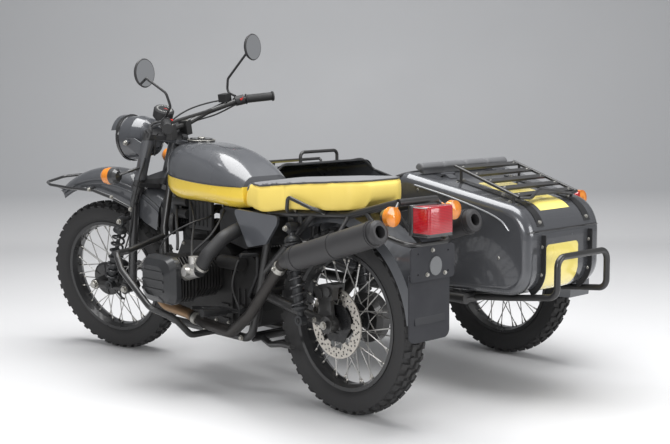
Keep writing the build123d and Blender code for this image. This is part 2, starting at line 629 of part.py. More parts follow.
def gauge():
    plane = Plane(origin=(1112, 0, 1040), x_dir=(0, 1, 0), z_dir=(-0.42, 0, 0.91))
    cup = revolve(Plane.XZ * make_face(Polyline((0, 0), (26, 0), (42, 16), (43, 50), (38, 56), (0, 52), close=True)), Axis.Z)
    return join(plane * cup, rod((1048, 0, 978), (1112, 0, 1044), 18))


def handlebar():
    points = [(792, 345, 1075), (876, 250, 1080), (985, 150, 1046), (1032, 60, 1012)]
    right = [(x, -y, z) for x, y, z in reversed(points)]
    bar = tube(points + right, 22, 36)
    cross = rod((968, 160, 1053), (968, -160, 1053), 14)
    clamps = [box((1012, 1052), (s * 50 - 17, s * 50 + 17), (970, 1030)) for s in (1, -1)]
    return join(bar, cross, clamps)


def bar_controls():
    """Grips, switch housings, levers and the brake fluid reservoir."""
    def grip(s):
        return rod((783, s * 356, 1074.5), (862, s * 266, 1079.3), 34)

    def housing(s):
        return rod((866, s * 261, 1079.5), (892, s * 232, 1076), 42)

    def lever(s):
        return tube([(900, s * 246, 1082), (930, s * 262, 1080), (900, s * 322, 1076), (836, s * 392, 1072)], 11, 20)

    reservoir = box((915, 955), (-238, -198), (1078, 1112))
    return group([join(grip(s), housing(s), lever(s)) for s in (1, -1)], reservoir)


def mirrors():
    def one(points, head):
        stem = tube(points, 10, 22)
        plane = Plane(origin=head, x_dir=(0, 1, 0), z_dir=(-1, 0, 0))
        dish = revolve(Plane.XZ * make_face(Polyline((0, -16), (30, -13), (52, -2), (56, 6), (54, 10), (0, 10), close=True)),
                       Axis.Z)
        return join(stem, plane * dish)
    left = one([(880, 246, 1098), (800, 300, 1150), (800, 315, 1205), (900, 315, 1272)], (898, 315, 1284))
    right = one([(892, -236, 1098), (943, -250, 1114), (930, -250, 1170), (815, -268, 1285)], (800, -270, 1297))
    return group(left, right)


def front_indicators():
    """A cup behind and a lens ahead on each stalk."""
    def one(s):
        stem = tube([(1168, s * 112, 864), (1188, s * 168, 858), (1216, s * 190, 850)], 12, 12)
        plane = Plane(origin=(1212, s * 200, 846), x_dir=(0, 1, 0), z_dir=(1, 0, 0))
        profile = [(0, 0), (20, 2), (31, 14), (35, 34), (36, 52), (33, 54), (32, 70), (22, 84), (0, 89)]
        return join(stem, plane * revolve(Plane.XZ * make_face(Polyline(*profile, close=True)), Axis.Z))
    return group(both(one))


# ---------------------------------------------------------------- sidecar


def tail_line(x, values):
    """A value of the body's tail between its back and the coaming."""
    return values[0] + (values[1] - values[0]) * (x - TAIL_X[0]) / (TAIL_X[1] - TAIL_X[0])


@cache
def tail_block(inset=0.0):
    """The body behind the seat: a straight taper with rounded back corners and rounded side edges."""
    back, front = TAIL_X[0] + inset, TAIL_X[1]
    low, ahead = TUB_LOW + inset, TAIL_X[1] + 60
    outline = make_face(Polyline((ahead, low), (back, low), (back, TAIL_TOP[0] - inset),
                                 (ahead, tail_line(ahead, TAIL_TOP) - inset), close=True))
    for pick, r in ((0, TAIL_LOW_R), (-1, TAIL_TOP_R)):
        corner = outline.vertices().group_by(Axis.X)[0].sort_by(Axis.Y)[pick] if pick == 0 else outline.vertices().filter_by(
            lambda v: v.X < back + 0.1).sort_by(Axis.Y)[-1]
        outline = fillet(corner, r - inset)
    block = extrude(Plane(origin=(0, TUB_Y + 500, 0), x_dir=(1, 0, 0), z_dir=(0, -1, 0)) * outline, 1000)
    plan = Polyline(*[(x, TUB_Y + side * (tail_line(x, TAIL_HALF) - inset)) for x, side in
                      ((back - 60, -1), (ahead + 30, -1), (ahead + 30, 1), (back - 60, 1))], close=True)
    block = block & Pos(0, 0, low - 100) * extrude(make_face(plan), 700)
    sides = [face for face in block.faces() if abs(face.normal_at().Y) > 0.9]
    edges = [edge for face in sides for edge in face.edges() if edge.center().X < ahead - 5]
    block = fillet(edges, TAIL_EDGE_R - inset)
    return block & box((back - 100, front), (-1300, 0), (0, 1200))


@cache
def tub_loft(inset=0.0):
    nose = [
        across(x - (inset if i == len(NOSE_SECTIONS) - 1 else 0), half - inset, low + inset, high - inset,
               low_r - inset, high_r - inset, TUB_Y)
        for i, (x, half, low, high, low_r, high_r) in enumerate(NOSE_SECTIONS)
    ]
    tail = tail_block(inset)
    front = tail.faces().sort_by(Axis.X)[-1]
    return tail.fuse(loft([front, nose[0]], ruled=True), loft(nose))


@cache
def body_shell():
    return tub_loft().cut(tub_loft(TUB_WALL))


def cockpit_cut():
    front, back = COCKPIT_X[1], COCKPIT_X[0]
    side = side_plate([(back, 1000), (back, 842), (back + 150, 752), (front - 190, 742), (front, 786), (front, 1000)],
                      TUB_Y - 400, TUB_Y + 400)
    return side


def lid_space(gap, low):
    """The trunk lid's room in the body's top and back, tapering to the back."""
    reach = TAIL_X[0] - 80
    slope = (LID_HALF[1] - LID_HALF[0]) / (BULKHEAD_X - TAIL_X[0])
    half = LID_HALF[1] - gap
    far = half - slope * (BULKHEAD_X - reach)
    plan = Polyline((BULKHEAD_X - gap, TUB_Y - half), (BULKHEAD_X - gap, TUB_Y + half), (reach, TUB_Y + far),
                    (reach, TUB_Y - far), close=True)
    return Pos(0, 0, low) * extrude(make_face(plan), 400)


def hinge_axis():
    """X and Z of the lid's hinge, just above the body's top."""
    x = BULKHEAD_X + 2
    return x, tail_line(x, TAIL_TOP) + KNUCKLE_R + 2


def knuckles(offsets, length, reach):
    """Hinge knuckles round the axis, each with a leaf lying on the body's top towards reach."""
    x, z = hinge_axis()
    pieces = []
    for dy in offsets:
        for side in (-1, 1):
            y = TUB_Y + side * HINGE_Y + dy
            pieces.append(rod((x, y - length / 2, z), (x, y + length / 2, z), 2 * KNUCKLE_R))
            low = tail_line(x + reach, TAIL_TOP)
            start = tail_line(x, TAIL_TOP)
            foot = x + (0.4 * KNUCKLE_R if reach > 0 else -0.4 * KNUCKLE_R)
            pieces.append(side_plate([(foot, start + 0.2), (x + reach, low - 0.5), (x + reach, low + 3.5), (foot, z + 3)],
                                     y - length / 2, y + length / 2))
    return pieces


def sidecar_tub():
    """The sheet body with its bulkhead; the middle of the tail's top and back is the trunk lid."""
    wall = box((BULKHEAD_X, BULKHEAD_X + TUB_WALL), (-1100, -200), (400, 1000)) & tub_loft(TUB_WALL)
    x, z = hinge_axis()
    pins = [rod((x, TUB_Y + s * HINGE_Y - 38, z), (x, TUB_Y + s * HINGE_Y + 38, z), 2 * HINGE_PIN_R) for s in (1, -1)]
    body = body_shell().cut(cockpit_cut(), lid_space(0, LID_Z))
    return join(body, wall, knuckles((-29, 29), 18, 34), pins)


def trunk_lid():
    """The lid's bent panel with its hinge knuckles and a flange round the inside of its edge."""
    x, z = hinge_axis()
    skin = body_shell() & lid_space(LID_GAP, LID_Z + LID_GAP)
    stiffener = (tub_loft(TUB_WALL).cut(tub_loft(TUB_WALL + 14)) & lid_space(LID_GAP + 16, LID_Z + 16)).cut(
        lid_space(LID_GAP + 19, LID_Z + 19))
    bores = [rod((x, TUB_Y + s * HINGE_Y - 60, z), (x, TUB_Y + s * HINGE_Y + 60, z), 2 * (HINGE_PIN_R + RUN)) for s in (1, -1)]
    return join(skin, stiffener, knuckles((0,), 39, -34)).cut(*bores)


HINGE_Y = 150.0


def trunk_rack():
    """Luggage rack on the lid: two rails, five flat slats and a rear bar bowed inwards."""
    def height(x):
        return RACK_Z + RACK_RISE * (x - RACK_X[0])

    lean = math.degrees(math.atan(RACK_RISE))
    back, front = RACK_X
    rails = [rod((front, TUB_Y + dy, height(front)), (back, TUB_Y + dy, height(back)), 13) for dy in (-RACK_Y, RACK_Y)]
    slats = [Pos(x, TUB_Y, height(x)) * Rot(0, -lean, 0) * Box(28, 2 * RACK_Y, 8) for x in (-60, -128, -196, -264, -330)]
    bow = tube([(x, TUB_Y + dy, height(x)) for x, dy in
                ((back, RACK_Y), (back - 14, 120), (back + 45, 0), (back - 14, -120), (back, -RACK_Y))], 13, 30)
    feet = [rod((x, TUB_Y + dy, height(x)), (x, TUB_Y + dy, height(x) - 62), 11)
            for x in (front - 30, back + 24) for dy in (-RACK_Y, RACK_Y)]
    return join(rails, slats, bow, feet)


RACK_X = (-350.0, -40.0)
RACK_Z = 772.0  # the rack at its back


def sidecar_frame():
    """Tubular chassis under the body with the four struts to the motorcycle."""
    near, far = SIDE_TUBE_Y
    z = SIDE_TUBE_Z
    ring = tube([(-170, near, z), (1120, near, z), (1190, near - 90, z), (1190, far + 90, z), (1120, far, z),
                 (-170, far, z)], SIDE_TUBE_D, 60)
    crossings = [rod((x, near, z), (x, far, z), SIDE_TUBE_D) for x in (-150, 480)]
    struts = [
        rod((930, -CRADLE_Y, CRADLE_Z), (930, near, z), 30),
        tube([(480, -CRADLE_Y, CRADLE_Z), (480, -270, CRADLE_Z + 4), (480, near, z)], 30, 50),
        rod((1042, -86, 600), (900, near, z), 28),
        rod((338, -118, 530), (300, near, z), 28),
    ]
    pads = [box((x - 25, x + 25), (y - 30, y + 30), (z, top)) for x, top in ((-20, TUB_LOW), (980, TUB_LOW + 9))
            for y in (near - 30, far + 30)]
    tower = tube([(470, far + 6, z + 4), (420, far - 60, z + 20), (330, -1040, 520), (300, -1040, 655)], 34, 50)
    return join(ring, crossings, struts, pads, tower)


def sidecar_swingarm():
    """Trailing arm and axle of the sidecar wheel."""
    arm = tube([(520, SIDE_TUBE_Y[1] - 8, 372), (520, -1000, 368), (440, -1072, 356), (SIDE_WHEEL_X, -1076, WHEEL_R)], 36, 34)
    boss = rod((SIDE_WHEEL_X, -1056, WHEEL_R), (SIDE_WHEEL_X, -1096, WHEEL_R), 60)
    axle = rod((SIDE_WHEEL_X, -1090, WHEEL_R), (SIDE_WHEEL_X, -TRACK - HUB_HALF - 22, WHEEL_R), 2 * AXLE_R)
    ear = rod((268, -1076, 350), (268, -1040, 385), 20)
    return join(arm, boss, axle, ear)


def sidecar_fender():
    outer, inner = WHEEL_R + 62, WHEEL_R + 59.5
    ring = lathe([(inner, -62), (inner, 62), (inner - 44, 80), (inner - 60, 80), (inner - 60, 83), (inner - 42, 83),
                  (outer, 64), (outer, -64), (inner - 42, -83), (inner - 60, -83), (inner - 60, -80),
                  (inner - 44, -80)], SIDE_WHEEL_X, -TRACK, WHEEL_R)
    keep = side_plate([(246, 300), (-400, 300), (-400, 900), (900, 900), (900, 470)], -1300, -1000)
    stays = [tube([(x, SIDE_TUBE_Y[1], SIDE_TUBE_Z), (x, -1040, SIDE_TUBE_Z + 10), (x, -1082, z)], 18, 30)
             for x, z in ((-60, 560), (560, 560))]
    return join(ring & keep, stays)


def sidecar_bumper():
    return tube([(-150, TUB_Y + 200, SIDE_TUBE_Z), (-300, TUB_Y + 170, 395), (-510, TUB_Y + 150, 420), (-510, TUB_Y + 150, 565),
                 (-510, TUB_Y - 150, 565), (-510, TUB_Y - 150, 420), (-300, TUB_Y - 170, 395), (-150, TUB_Y - 200, SIDE_TUBE_Z)],
                24, 38)


def nose_rack():
    rails = [tube([(1140, TUB_Y + dy, 800), (1140, TUB_Y + dy, 829), (1430, TUB_Y + dy * 0.72, 800), (1430, TUB_Y + dy * 0.72, 760)],
                  13, 14) for dy in (-190, 190)]
    bars = [rod((x, TUB_Y - half, z), (x, TUB_Y + half, z), 13)
            for x, half, z in ((1150, 189, 829), (1245, 175, 819), (1340, 159, 809), (1420, 147, 801))]
    return join(rails, bars)


def sidecar_seat():
    cushion = box((150, 640), (TUB_Y - 275, TUB_Y + 275), (450, 560))
    back = side_plate([(60, 560), (170, 560), (110, 850), (40, 850)], TUB_Y - 270, TUB_Y + 270)
    return join(cushion, back) & tub_loft(TUB_WALL + SEAT)


def backrest_roll():
    """Round pad on the coaming behind the seat, on a base strip."""
    roll = rod((75, TUB_Y - 255, 872), (75, TUB_Y + 255, 872), 44)
    return join(roll, box((62, 88), (TUB_Y - 240, TUB_Y + 240), (836.5, 868)))


def cockpit_handle():
    x = COCKPIT_X[1] + 40
    return tube([(x, TUB_Y - 110, 822), (x, TUB_Y - 110, 880), (x, TUB_Y + 110, 880), (x, TUB_Y + 110, 822)], 15, 22)


def sidecar_lamps():
    """Turn lamp on the body's right shoulder."""
    plane = Plane(origin=(-291, TUB_Y - 272, 733), x_dir=(0, 1, 0), z_dir=(-1, 0, 0))
    body = revolve(Plane.XZ * make_face(Polyline((0, -34), (22, -30), (33, -6), (33, 12), (0, 18), close=True)), Axis.Z)
    return join(plane * body, rod((-285, TUB_Y - 256, 728), (-285, TUB_Y - 238, 726), 18))


def centre_stand():
    """Folded stand: two legs, a cross tube and its pivot tube under the cradle."""
    def leg(s):
        return tube([(STAND_PIVOT[0], s * 60, STAND_PIVOT[1]), (360, s * 76, 206), (270, s * 100, 226), (180, s * 122, 236)], 24, 40)
    half = CRADLE_Y - TUBE_D / 2 - SEAT
    pivot = rod((STAND_PIVOT[0], -half, STAND_PIVOT[1]), (STAND_PIVOT[0], half, STAND_PIVOT[1]), 30)
    cross = rod((360, -76, 206), (360, 76, 206), 22)
    return join(both(leg), pivot, cross)


STAND_PIVOT = (440.0, 222.0)
STAND_DOWN = 52.0

NODES = {
    "frame": frame, "swingarm": swingarm, "rear_shocks": rear_shocks, "engine_case": engine_case,
    "cylinders": cylinders, "rocker_covers": rocker_covers, "airbox": airbox, "intakes": intakes,
    "exhaust_pipes": exhaust_pipes, "silencers": silencers, "fuel_tank": fuel_tank, "tank_cap": tank_cap,
    "seat": seat, "side_covers": side_covers, "rear_fender": rear_fender, "mudflap": mudflap,
    "tail_lamp": tail_lamp, "rear_rail": rear_rail, "rear_indicators": rear_indicators,
    "crash_bars": crash_bars, "foot_controls": foot_controls,
    "sidecar_frame": sidecar_frame, "sidecar_tub": sidecar_tub, "sidecar_swingarm": sidecar_swingarm,
    "sidecar_fender": sidecar_fender, "sidecar_bumper": sidecar_bumper, "nose_rack": nose_rack,
    "sidecar_seat": sidecar_seat, "backrest_roll": backrest_roll, "cockpit_handle": cockpit_handle,
    "sidecar_lamps": sidecar_lamps, "trunk_lid": trunk_lid, "trunk_rack": trunk_rack,
    "centre_stand": centre_stand,
    "fork": fork, "leading_link": leading_link, "front_shocks": front_shocks, "front_fender": front_fender,
    "fender_rail": fender_rail, "headlamp": headlamp, "gauge": gauge, "handlebar": handlebar,
    "bar_controls": bar_controls, "mirrors": mirrors, "front_indicators": front_indicators,
}


STEERED = ("fork", "leading_link", "front_shocks", "front_fender", "fender_rail", "headlamp", "gauge",
           "handlebar", "bar_controls", "mirrors", "front_indicators", "front_rim", "front_tyre")

# Each piece and what carries it: its seat is cut to the carrier's shape
SEATS = [
    ("sidecar_frame", "sidecar_tub"), ("sidecar_frame", "frame"),
    ("engine_case", "frame"), ("swingarm", "frame"), ("rear_shocks", "frame"), ("rear_shocks", "swingarm"),
    ("silencers", "frame"), ("exhaust_pipes", "silencers"), ("exhaust_pipes", "cylinders"),
    ("intakes", "cylinders"), ("intakes", "airbox"), ("fuel_tank", "frame"), ("tank_cap", "fuel_tank"),
    ("rear_rail", "frame"), ("seat", "frame"), ("seat", "rear_rail"), ("seat", "fuel_tank"),
    ("side_covers", "frame"), ("rear_fender", "frame"), ("mudflap", "rear_fender"), ("mudflap", "rear_rail"),
    ("rear_indicators", "frame"), ("crash_bars", "frame"), ("foot_controls", "engine_case"),
    ("foot_controls", "exhaust_pipes"),
    ("sidecar_swingarm", "sidecar_frame"), ("sidecar_fender", "sidecar_frame"),
    ("sidecar_bumper", "sidecar_frame"), ("nose_rack", "sidecar_tub"), ("backrest_roll", "sidecar_tub"),
    ("cockpit_handle", "sidecar_tub"), ("trunk_rack", "trunk_lid"), ("sidecar_lamps", "sidecar_tub"),
    ("front_shocks", "fork"), ("front_shocks", "leading_link"), ("leading_link", "fork"),
    ("front_fender", "fork"), ("fender_rail", "fork"), ("fender_rail", "front_fender"),
    ("headlamp", "fork"), ("gauge", "fork"), ("handlebar", "fork"), ("bar_controls", "handlebar"),
    ("mirrors", "handlebar"), ("mirrors", "bar_controls"), ("front_indicators", "fork"),
    ("rear_disc", "rear_rim"),
]
CRUMB = 0.01  # a cut-off scrap's share of the piece, dropped behind a thin skin


def build():
    parts = {name: make() for name, make in NODES.items()}
    rim, rubber = wheel(), tyre()
    for name, place in (("front", (WHEELBASE, 0, WHEEL_R)), ("rear", (0, 0, WHEEL_R)),
                        ("sidecar", (SIDE_WHEEL_X, -TRACK, WHEEL_R))):
        parts[name + "_rim"] = Pos(*place) * rim
        parts[name + "_tyre"] = Pos(*place) * rubber
    parts["rear_disc"] = Pos(0, 0, WHEEL_R) * brake_disc()
    for piece, carrier in SEATS:
        cut = group(parts[piece].cut(*parts[carrier].solids())).solids()
        least = CRUMB * max(solid.volume for solid in cut)
        parts[piece] = Compound([solid for solid in cut if solid.volume > least])
    for name in STEERED:
        parts[name] = parts[name].rotate(STEER_AXIS, STEER_REST)
    return {name: group(shape) for name, shape in parts.items()}


def centring(parts):
    """The move that puts the origin on the ground under the middle of the whole machine."""
    boxes = [shape.bounding_box() for shape in parts.values()]
    x = min(b.min.X for b in boxes) + max(b.max.X for b in boxes)
    y = min(b.min.Y for b in boxes) + max(b.max.Y for b in boxes)
    return (-x / 2, -y / 2, 0)


PARTS = build()
SHIFT = centring(PARTS)

if __name__ == "__main__":
    os.makedirs("parts", exist_ok=True)
    for name, shape in PARTS.items():
        export_step(Pos(*SHIFT) * shape, f"parts/{name}.step")
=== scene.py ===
import json
from math import atan, cos, exp, pi, radians, sin, tau

import bmesh
import bpy
from mathutils import Matrix, Vector
from mathutils.bvhtree import BVHTree


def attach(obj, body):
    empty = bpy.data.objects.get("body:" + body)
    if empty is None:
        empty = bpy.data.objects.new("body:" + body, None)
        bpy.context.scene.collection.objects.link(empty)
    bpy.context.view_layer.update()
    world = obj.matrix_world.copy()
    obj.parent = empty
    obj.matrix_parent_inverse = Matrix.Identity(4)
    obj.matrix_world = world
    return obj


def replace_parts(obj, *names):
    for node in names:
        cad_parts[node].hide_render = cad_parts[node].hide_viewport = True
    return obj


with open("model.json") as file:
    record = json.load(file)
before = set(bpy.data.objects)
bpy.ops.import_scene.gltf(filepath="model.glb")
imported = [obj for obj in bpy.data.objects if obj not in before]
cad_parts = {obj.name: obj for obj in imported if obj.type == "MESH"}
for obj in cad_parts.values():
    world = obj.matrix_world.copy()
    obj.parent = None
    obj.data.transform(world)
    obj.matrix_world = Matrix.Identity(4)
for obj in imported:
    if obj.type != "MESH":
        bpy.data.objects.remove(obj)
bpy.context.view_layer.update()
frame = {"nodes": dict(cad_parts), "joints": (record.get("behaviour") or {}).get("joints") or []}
nodes = frame["nodes"]

# ---- Where things are
# The machine is laid out from its rear axle, which stands on the ground line with X forward, Y to the left.
joints = {joint["name"]: joint for joint in frame["joints"]}
rear_axle = Vector(joints["rear_wheel_spin"]["pos_m"])
ground_under_axle = Vector((rear_axle.x, rear_axle.y, 0))
wheel_radius = 0.341
front_axle_x = 1.5
tub_middle = -0.69


def at(x, y, z):
    """A place in metres from the ground under the rear axle."""
    return ground_under_axle + Vector((x, y, z))


def placed(name, data):
    """A new object in the scene."""
    made = bpy.data.objects.new(name, data)
    bpy.context.scene.collection.objects.link(made)
    return made


def mesh_data(name, mesh, finish):
    """Object data with smooth faces and one finish, from a bmesh that is then let go."""
    data = bpy.data.meshes.new(name)
    mesh.to_mesh(data)
    mesh.free()
    data.materials.append(finish.material)
    for face in data.polygons:
        face.use_smooth = True
    return data


# ---- Camera
# It stands behind the machine on its left, at chest height.
camera_data = bpy.data.cameras.new("camera")
camera_data.lens = 64.08
camera_data.sensor_width = 36
camera = placed("camera", camera_data)
yaw, pitch, roll = -0.73787, -0.12173, -0.00799
forward = Vector((cos(pitch) * cos(yaw), cos(pitch) * sin(yaw), sin(pitch)))
level = forward.cross(Vector((0, 0, 1))).normalized()
upright = level.cross(forward)
right = level * cos(roll) + upright * sin(roll)
up = right.cross(forward)
camera.matrix_world = Matrix((right, up, -forward)).transposed().to_4x4()
camera.location = at(-3.092, 2.881, 1.216)
bpy.context.scene.camera = camera

# ---- Studio
# A pale floor that curves up into the wall, with the wall painted darker as painted shade, and a broad soft lamp
# overhead and weaker ones beside and behind.
bpy.context.scene.view_settings.view_transform = "Standard"
world = bpy.data.worlds.new("studio")
world.use_nodes = True
sky = world.node_tree.nodes["Background"].inputs
sky["Color"].default_value = (0.62, 0.63, 0.65, 1)
sky["Strength"].default_value = 0.46
bpy.context.scene.world = world
for name, place, aim, width, depth, power in (
        ("overhead", at(0.3, -0.2, 4.2), at(0.4, -0.4, 0.4), 4.4, 3.4, 300),
        ("left_side", at(-2.2, 4.2, 2.2), at(0.4, 0.0, 0.5), 2.4, 1.6, 95),
        ("rear_fill", at(-4.5, -2.2, 1.9), at(0.0, -0.5, 0.5), 2.6, 2.0, 80)):
    data = bpy.data.lights.new(name, "AREA")
    data.shape = "RECTANGLE"
    data.size, data.size_y, data.energy = width, depth, power
    lamp = placed(name, data)
    lamp.location = place
    lamp.rotation_mode = "QUATERNION"
    lamp.rotation_quaternion = (aim - place).to_track_quat("-Z", "Y")


class Shade:
    """A shader socket that takes Python maths."""

    def __init__(self, maker, socket):
        self.maker = maker
        self.socket = socket

    def maths(self, operation, *others):
        return self.maker.add("ShaderNodeMath", {"operation": operation}, self, *others)

    def __rsub__(self, other):
        return self.maker.add("ShaderNodeMath", {"operation": "SUBTRACT"}, other, self)

    def along(self, direction):
        """How far a vector reaches along a direction."""
        return self.maker.add("ShaderNodeVectorMath", {"operation": "DOT_PRODUCT"}, self, tuple(direction), output=1)

    def ranged(self, low, high, start=0.3, end=0.7):
        """From low to high as the value goes from start to end."""
        return self.maker.add("ShaderNodeMapRange", None, self, start, end, low, high)

    def waves(self):
        """From nought to one and back, as a sine."""
        return self.maths("SINE") * 0.5 + 0.5


for sign, operation in (("add", "ADD"), ("sub", "SUBTRACT"), ("mul", "MULTIPLY"), ("truediv", "DIVIDE"),
                        ("gt", "GREATER_THAN"), ("lt", "LESS_THAN")):
    setattr(Shade, f"__{sign}__", lambda self, other, operation=operation: self.maths(operation, other))


class Finish:
    """A material of one surface finish, with its nodes made by add()."""

    def __init__(self, name, colour, roughness=0.5, metallic=0.0, coat=0.0, specular=0.5):
        self.material = bpy.data.materials.new(name)
        self.material.use_nodes = True
        self.material.diffuse_color = (*colour, 1)
        self.tree = self.material.node_tree
        self.shader = self.tree.nodes["Principled BSDF"]
        for socket, value in (("Base Color", (*colour, 1)), ("Roughness", roughness), ("Metallic", metallic),
                              ("Coat Weight", coat), ("Coat Roughness", 0.05), ("Specular IOR Level", specular)):
            self.shader.inputs[socket].default_value = value

    def fill(self, socket, value):
        """Links a shade to a socket, or sets its value."""
        if isinstance(value, Shade):
            self.tree.links.new(value.socket, socket)
        else:
            socket.default_value = value

    def add(self, kind, settings=None, *values, output=0):
        """A node; its values are given in the order of its sockets, or each with a socket's name."""
        node = self.tree.nodes.new(kind)
        for key, value in (settings or {}).items():
            setattr(node, key, value)
        for i, value in enumerate(values):
            named = isinstance(value, tuple) and isinstance(value[0], str)
            self.fill(node.inputs[value[0] if named else i], value[1] if named else value)
        return Shade(self, node.outputs[output])

    def place(self, origin=None):
        """Object coordinates in metres, measured from an origin if one is given."""
        here = self.add("ShaderNodeTexCoord", None, output=3)
        if origin is None:
            return here
        return self.add("ShaderNodeVectorMath", {"operation": "SUBTRACT"}, here, tuple(origin))

    def parts(self, vector):
        return [self.add("ShaderNodeSeparateXYZ", None, vector, output=i) for i in range(3)]

    def spot(self):
        """X, Y and Z in metres from the ground under the rear axle."""
        return self.parts(self.place(ground_under_axle))

    def faces(self):
        """X, Y and Z of the surface's direction."""
        return self.parts(self.add("ShaderNodeTexCoord", None, output=1))

    def noise(self, scale, detail=3.0, roughness=0.5):
        return self.add("ShaderNodeTexNoise", None, ("Vector", self.place()), ("Scale", scale), ("Detail", detail),
                        ("Roughness", roughness))

    def flutes(self, direction, scale):
        """Fine ribs across a lens."""
        return self.add("ShaderNodeTexWave", {"wave_type": "BANDS", "bands_direction": direction},
                        ("Vector", self.place()), ("Scale", scale))

    def mix(self, share, first, second):
        node = self.tree.nodes.new("ShaderNodeMix")
        node.data_type = "RGBA"
        for i, value in ((0, share), (6, first), (7, second)):
            self.fill(node.inputs[i], (*value, 1) if isinstance(value, tuple) else value)
        return Shade(self, node.outputs[2])

    def feed(self, socket, shade):
        self.tree.links.new(shade.socket, self.shader.inputs[socket])

    def bump(self, height, strength, distance):
        self.feed("Normal", self.add("ShaderNodeBump", None, ("Height", height), ("Strength", strength),
                                     ("Distance", distance)))

    def uneven(self, low, high, scale=9.0):
        """Roughness that wanders a little, as handled and weathered surfaces do."""
        self.feed("Roughness", self.noise(scale, 4.0, 0.6).ranged(low, high))
        return self

    def mottled(self, pattern, pair, rough=None, mask=None, other=None):
        """Colour and roughness that follow one pattern; another pair of colours shows where the mask is one."""
        colour = self.mix(pattern, *pair)
        self.feed("Base Color", colour if mask is None else self.mix(mask, colour, self.mix(pattern, *other)))
        if rough:
            self.feed("Roughness", pattern.ranged(*rough))
        return self

    def grain(self, scale, strength, distance=0.0004):
        self.bump(self.noise(scale, 2.0), strength, distance)
        return self

    def pebbled(self):
        """The fine pebbling of vinyl."""
        cells = self.add("ShaderNodeTexVoronoi", {"feature": "SMOOTH_F1"}, ("Vector", self.place()), ("Scale", 420.0))
        self.bump(cells, 0.35, 0.0005)


floor_finish = Finish("studio_floor", (0.8, 0.8, 0.8), 0.55).uneven(0.5, 0.62, 2.0)
# Painted shade: the cove is painted darker from the floor up to the wall, where the light falls off.
wall = floor_finish.spot()[2].ranged(0.0, 1.0, 0.03, 0.3)
floor_finish.feed("Base Color", floor_finish.mix(wall, (0.7, 0.7, 0.705), (0.44, 0.445, 0.455)))
floor_finish.feed("Alpha", 1.0 - floor_finish.add("ShaderNodeNewGeometry", None, output=6))
curve_start, curve_radius = 3.6, 1.6
floor_profile = [(-9.0, 0.0), (curve_start, 0.0)]
for step in range(1, 13):
    turn = radians(90 * step / 12)
    floor_profile.append((curve_start + curve_radius * sin(turn), curve_radius - curve_radius * cos(turn)))
floor_profile.append((curve_start + curve_radius, 7.0))
view_along = Vector((forward.x, forward.y, 0)).normalized()
view_across = Vector((-view_along.y, view_along.x, 0))
floor_mesh = bmesh.new()
rows = [[floor_mesh.verts.new(at(0.4, -0.5, height) + view_along * along + view_across * side) for side in (-11, 11)]
        for along, height in floor_profile]
for near, far in zip(rows, rows[1:]):
    floor_mesh.faces.new((near[0], far[0], far[1], near[1]))
floor = placed("studio_floor", mesh_data("studio_floor", floor_mesh, floor_finish))


def coat_node(finish, *names):
    """Gives CAD nodes a finish."""
    for name in names:
        materials = nodes[name].data.materials
        materials.clear()
        materials.append(finish.material)


sharpest_smooth_edge = radians(35)


def piece(name, mesh, body, finish, place=Matrix()):
    """Turns a finished bmesh into an object that rides on a body; only its gentle edges are smooth."""
    bmesh.ops.transform(mesh, matrix=place, verts=mesh.verts)
    for edge in mesh.edges:
        if len(edge.link_faces) == 2:
            edge.smooth = edge.calc_face_angle(0) < sharpest_smooth_edge
    made = placed(name, mesh_data(name, mesh, finish))
    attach(made, body)
    return made


def facing(where, direction):
    """A placement at a point with its Z along a direction."""
    return Matrix.Translation(where) @ Vector(direction).to_track_quat("Z", "Y").to_matrix().to_4x4()


def standing(where, direction):
    """A placement at a point with its Y along a direction, for what turned() makes."""
    return facing(where, direction) @ Matrix.Rotation(radians(90), 4, "X")


def cone(mesh, sides, low, high, depth, place, capped=True):
    """A cone or a cylinder about Z of a placement; gives its corners."""
    return bmesh.ops.create_cone(mesh, cap_ends=capped, segments=sides, radius1=low, radius2=high, depth=depth,
                                 matrix=place)["verts"]


def disc(mesh, radius, place):
    """A flat round face square to Z of a placement."""
    bmesh.ops.create_circle(mesh, cap_ends=True, segments=40, radius=radius, matrix=place)


def rounded(mesh, edges, size, steps):
    """Takes the sharpness off some edges."""
    bmesh.ops.bevel(mesh, geom=edges, offset=size, offset_type="OFFSET", segments=steps, profile=0.5, affect="EDGES",
                    material=-1)


def bolt(mesh, where, direction, across, height=0.007):
    """A hexagon head on its washer."""
    place = facing(where, direction)
    corner, washer = across * 0.577, 0.0022
    cone(mesh, 16, across * 0.78, across * 0.74, washer, place @ Matrix.Translation((0, 0, washer / 2)))
    head = cone(mesh, 6, corner, corner, height, place @ Matrix.Translation((0, 0, height / 2 + 0.002)))
    rounded(mesh, [edge for edge in mesh.edges if edge.verts[0] in head and edge.verts[1] in head], across * 0.05, 1)


def side_bolts(mesh, heads, across, height=0.007, sides=(1, -1)):
    """Bolts that face outward at the same places on both sides, or on the sides named."""
    for x, y, z in heads:
        for side in sides:
            bolt(mesh, at(x, side * y, z), (0, side, 0), across, height)


def band(mesh, where, direction, radius, width, proud):
    """A flat clamp ring round a tube."""
    axis = Vector(direction).normalized()
    walls = set()
    for size in (radius + proud, radius * 0.97):
        walls.update(cone(mesh, 28, size, size, width, facing(where, direction), capped=False))
    for end in (-1, 1):
        rims = {vert for vert in walls if (vert.co - where).dot(axis) * end > 0}
        bmesh.ops.bridge_loops(mesh, edges=[edge for edge in mesh.edges if set(edge.verts) <= rims])


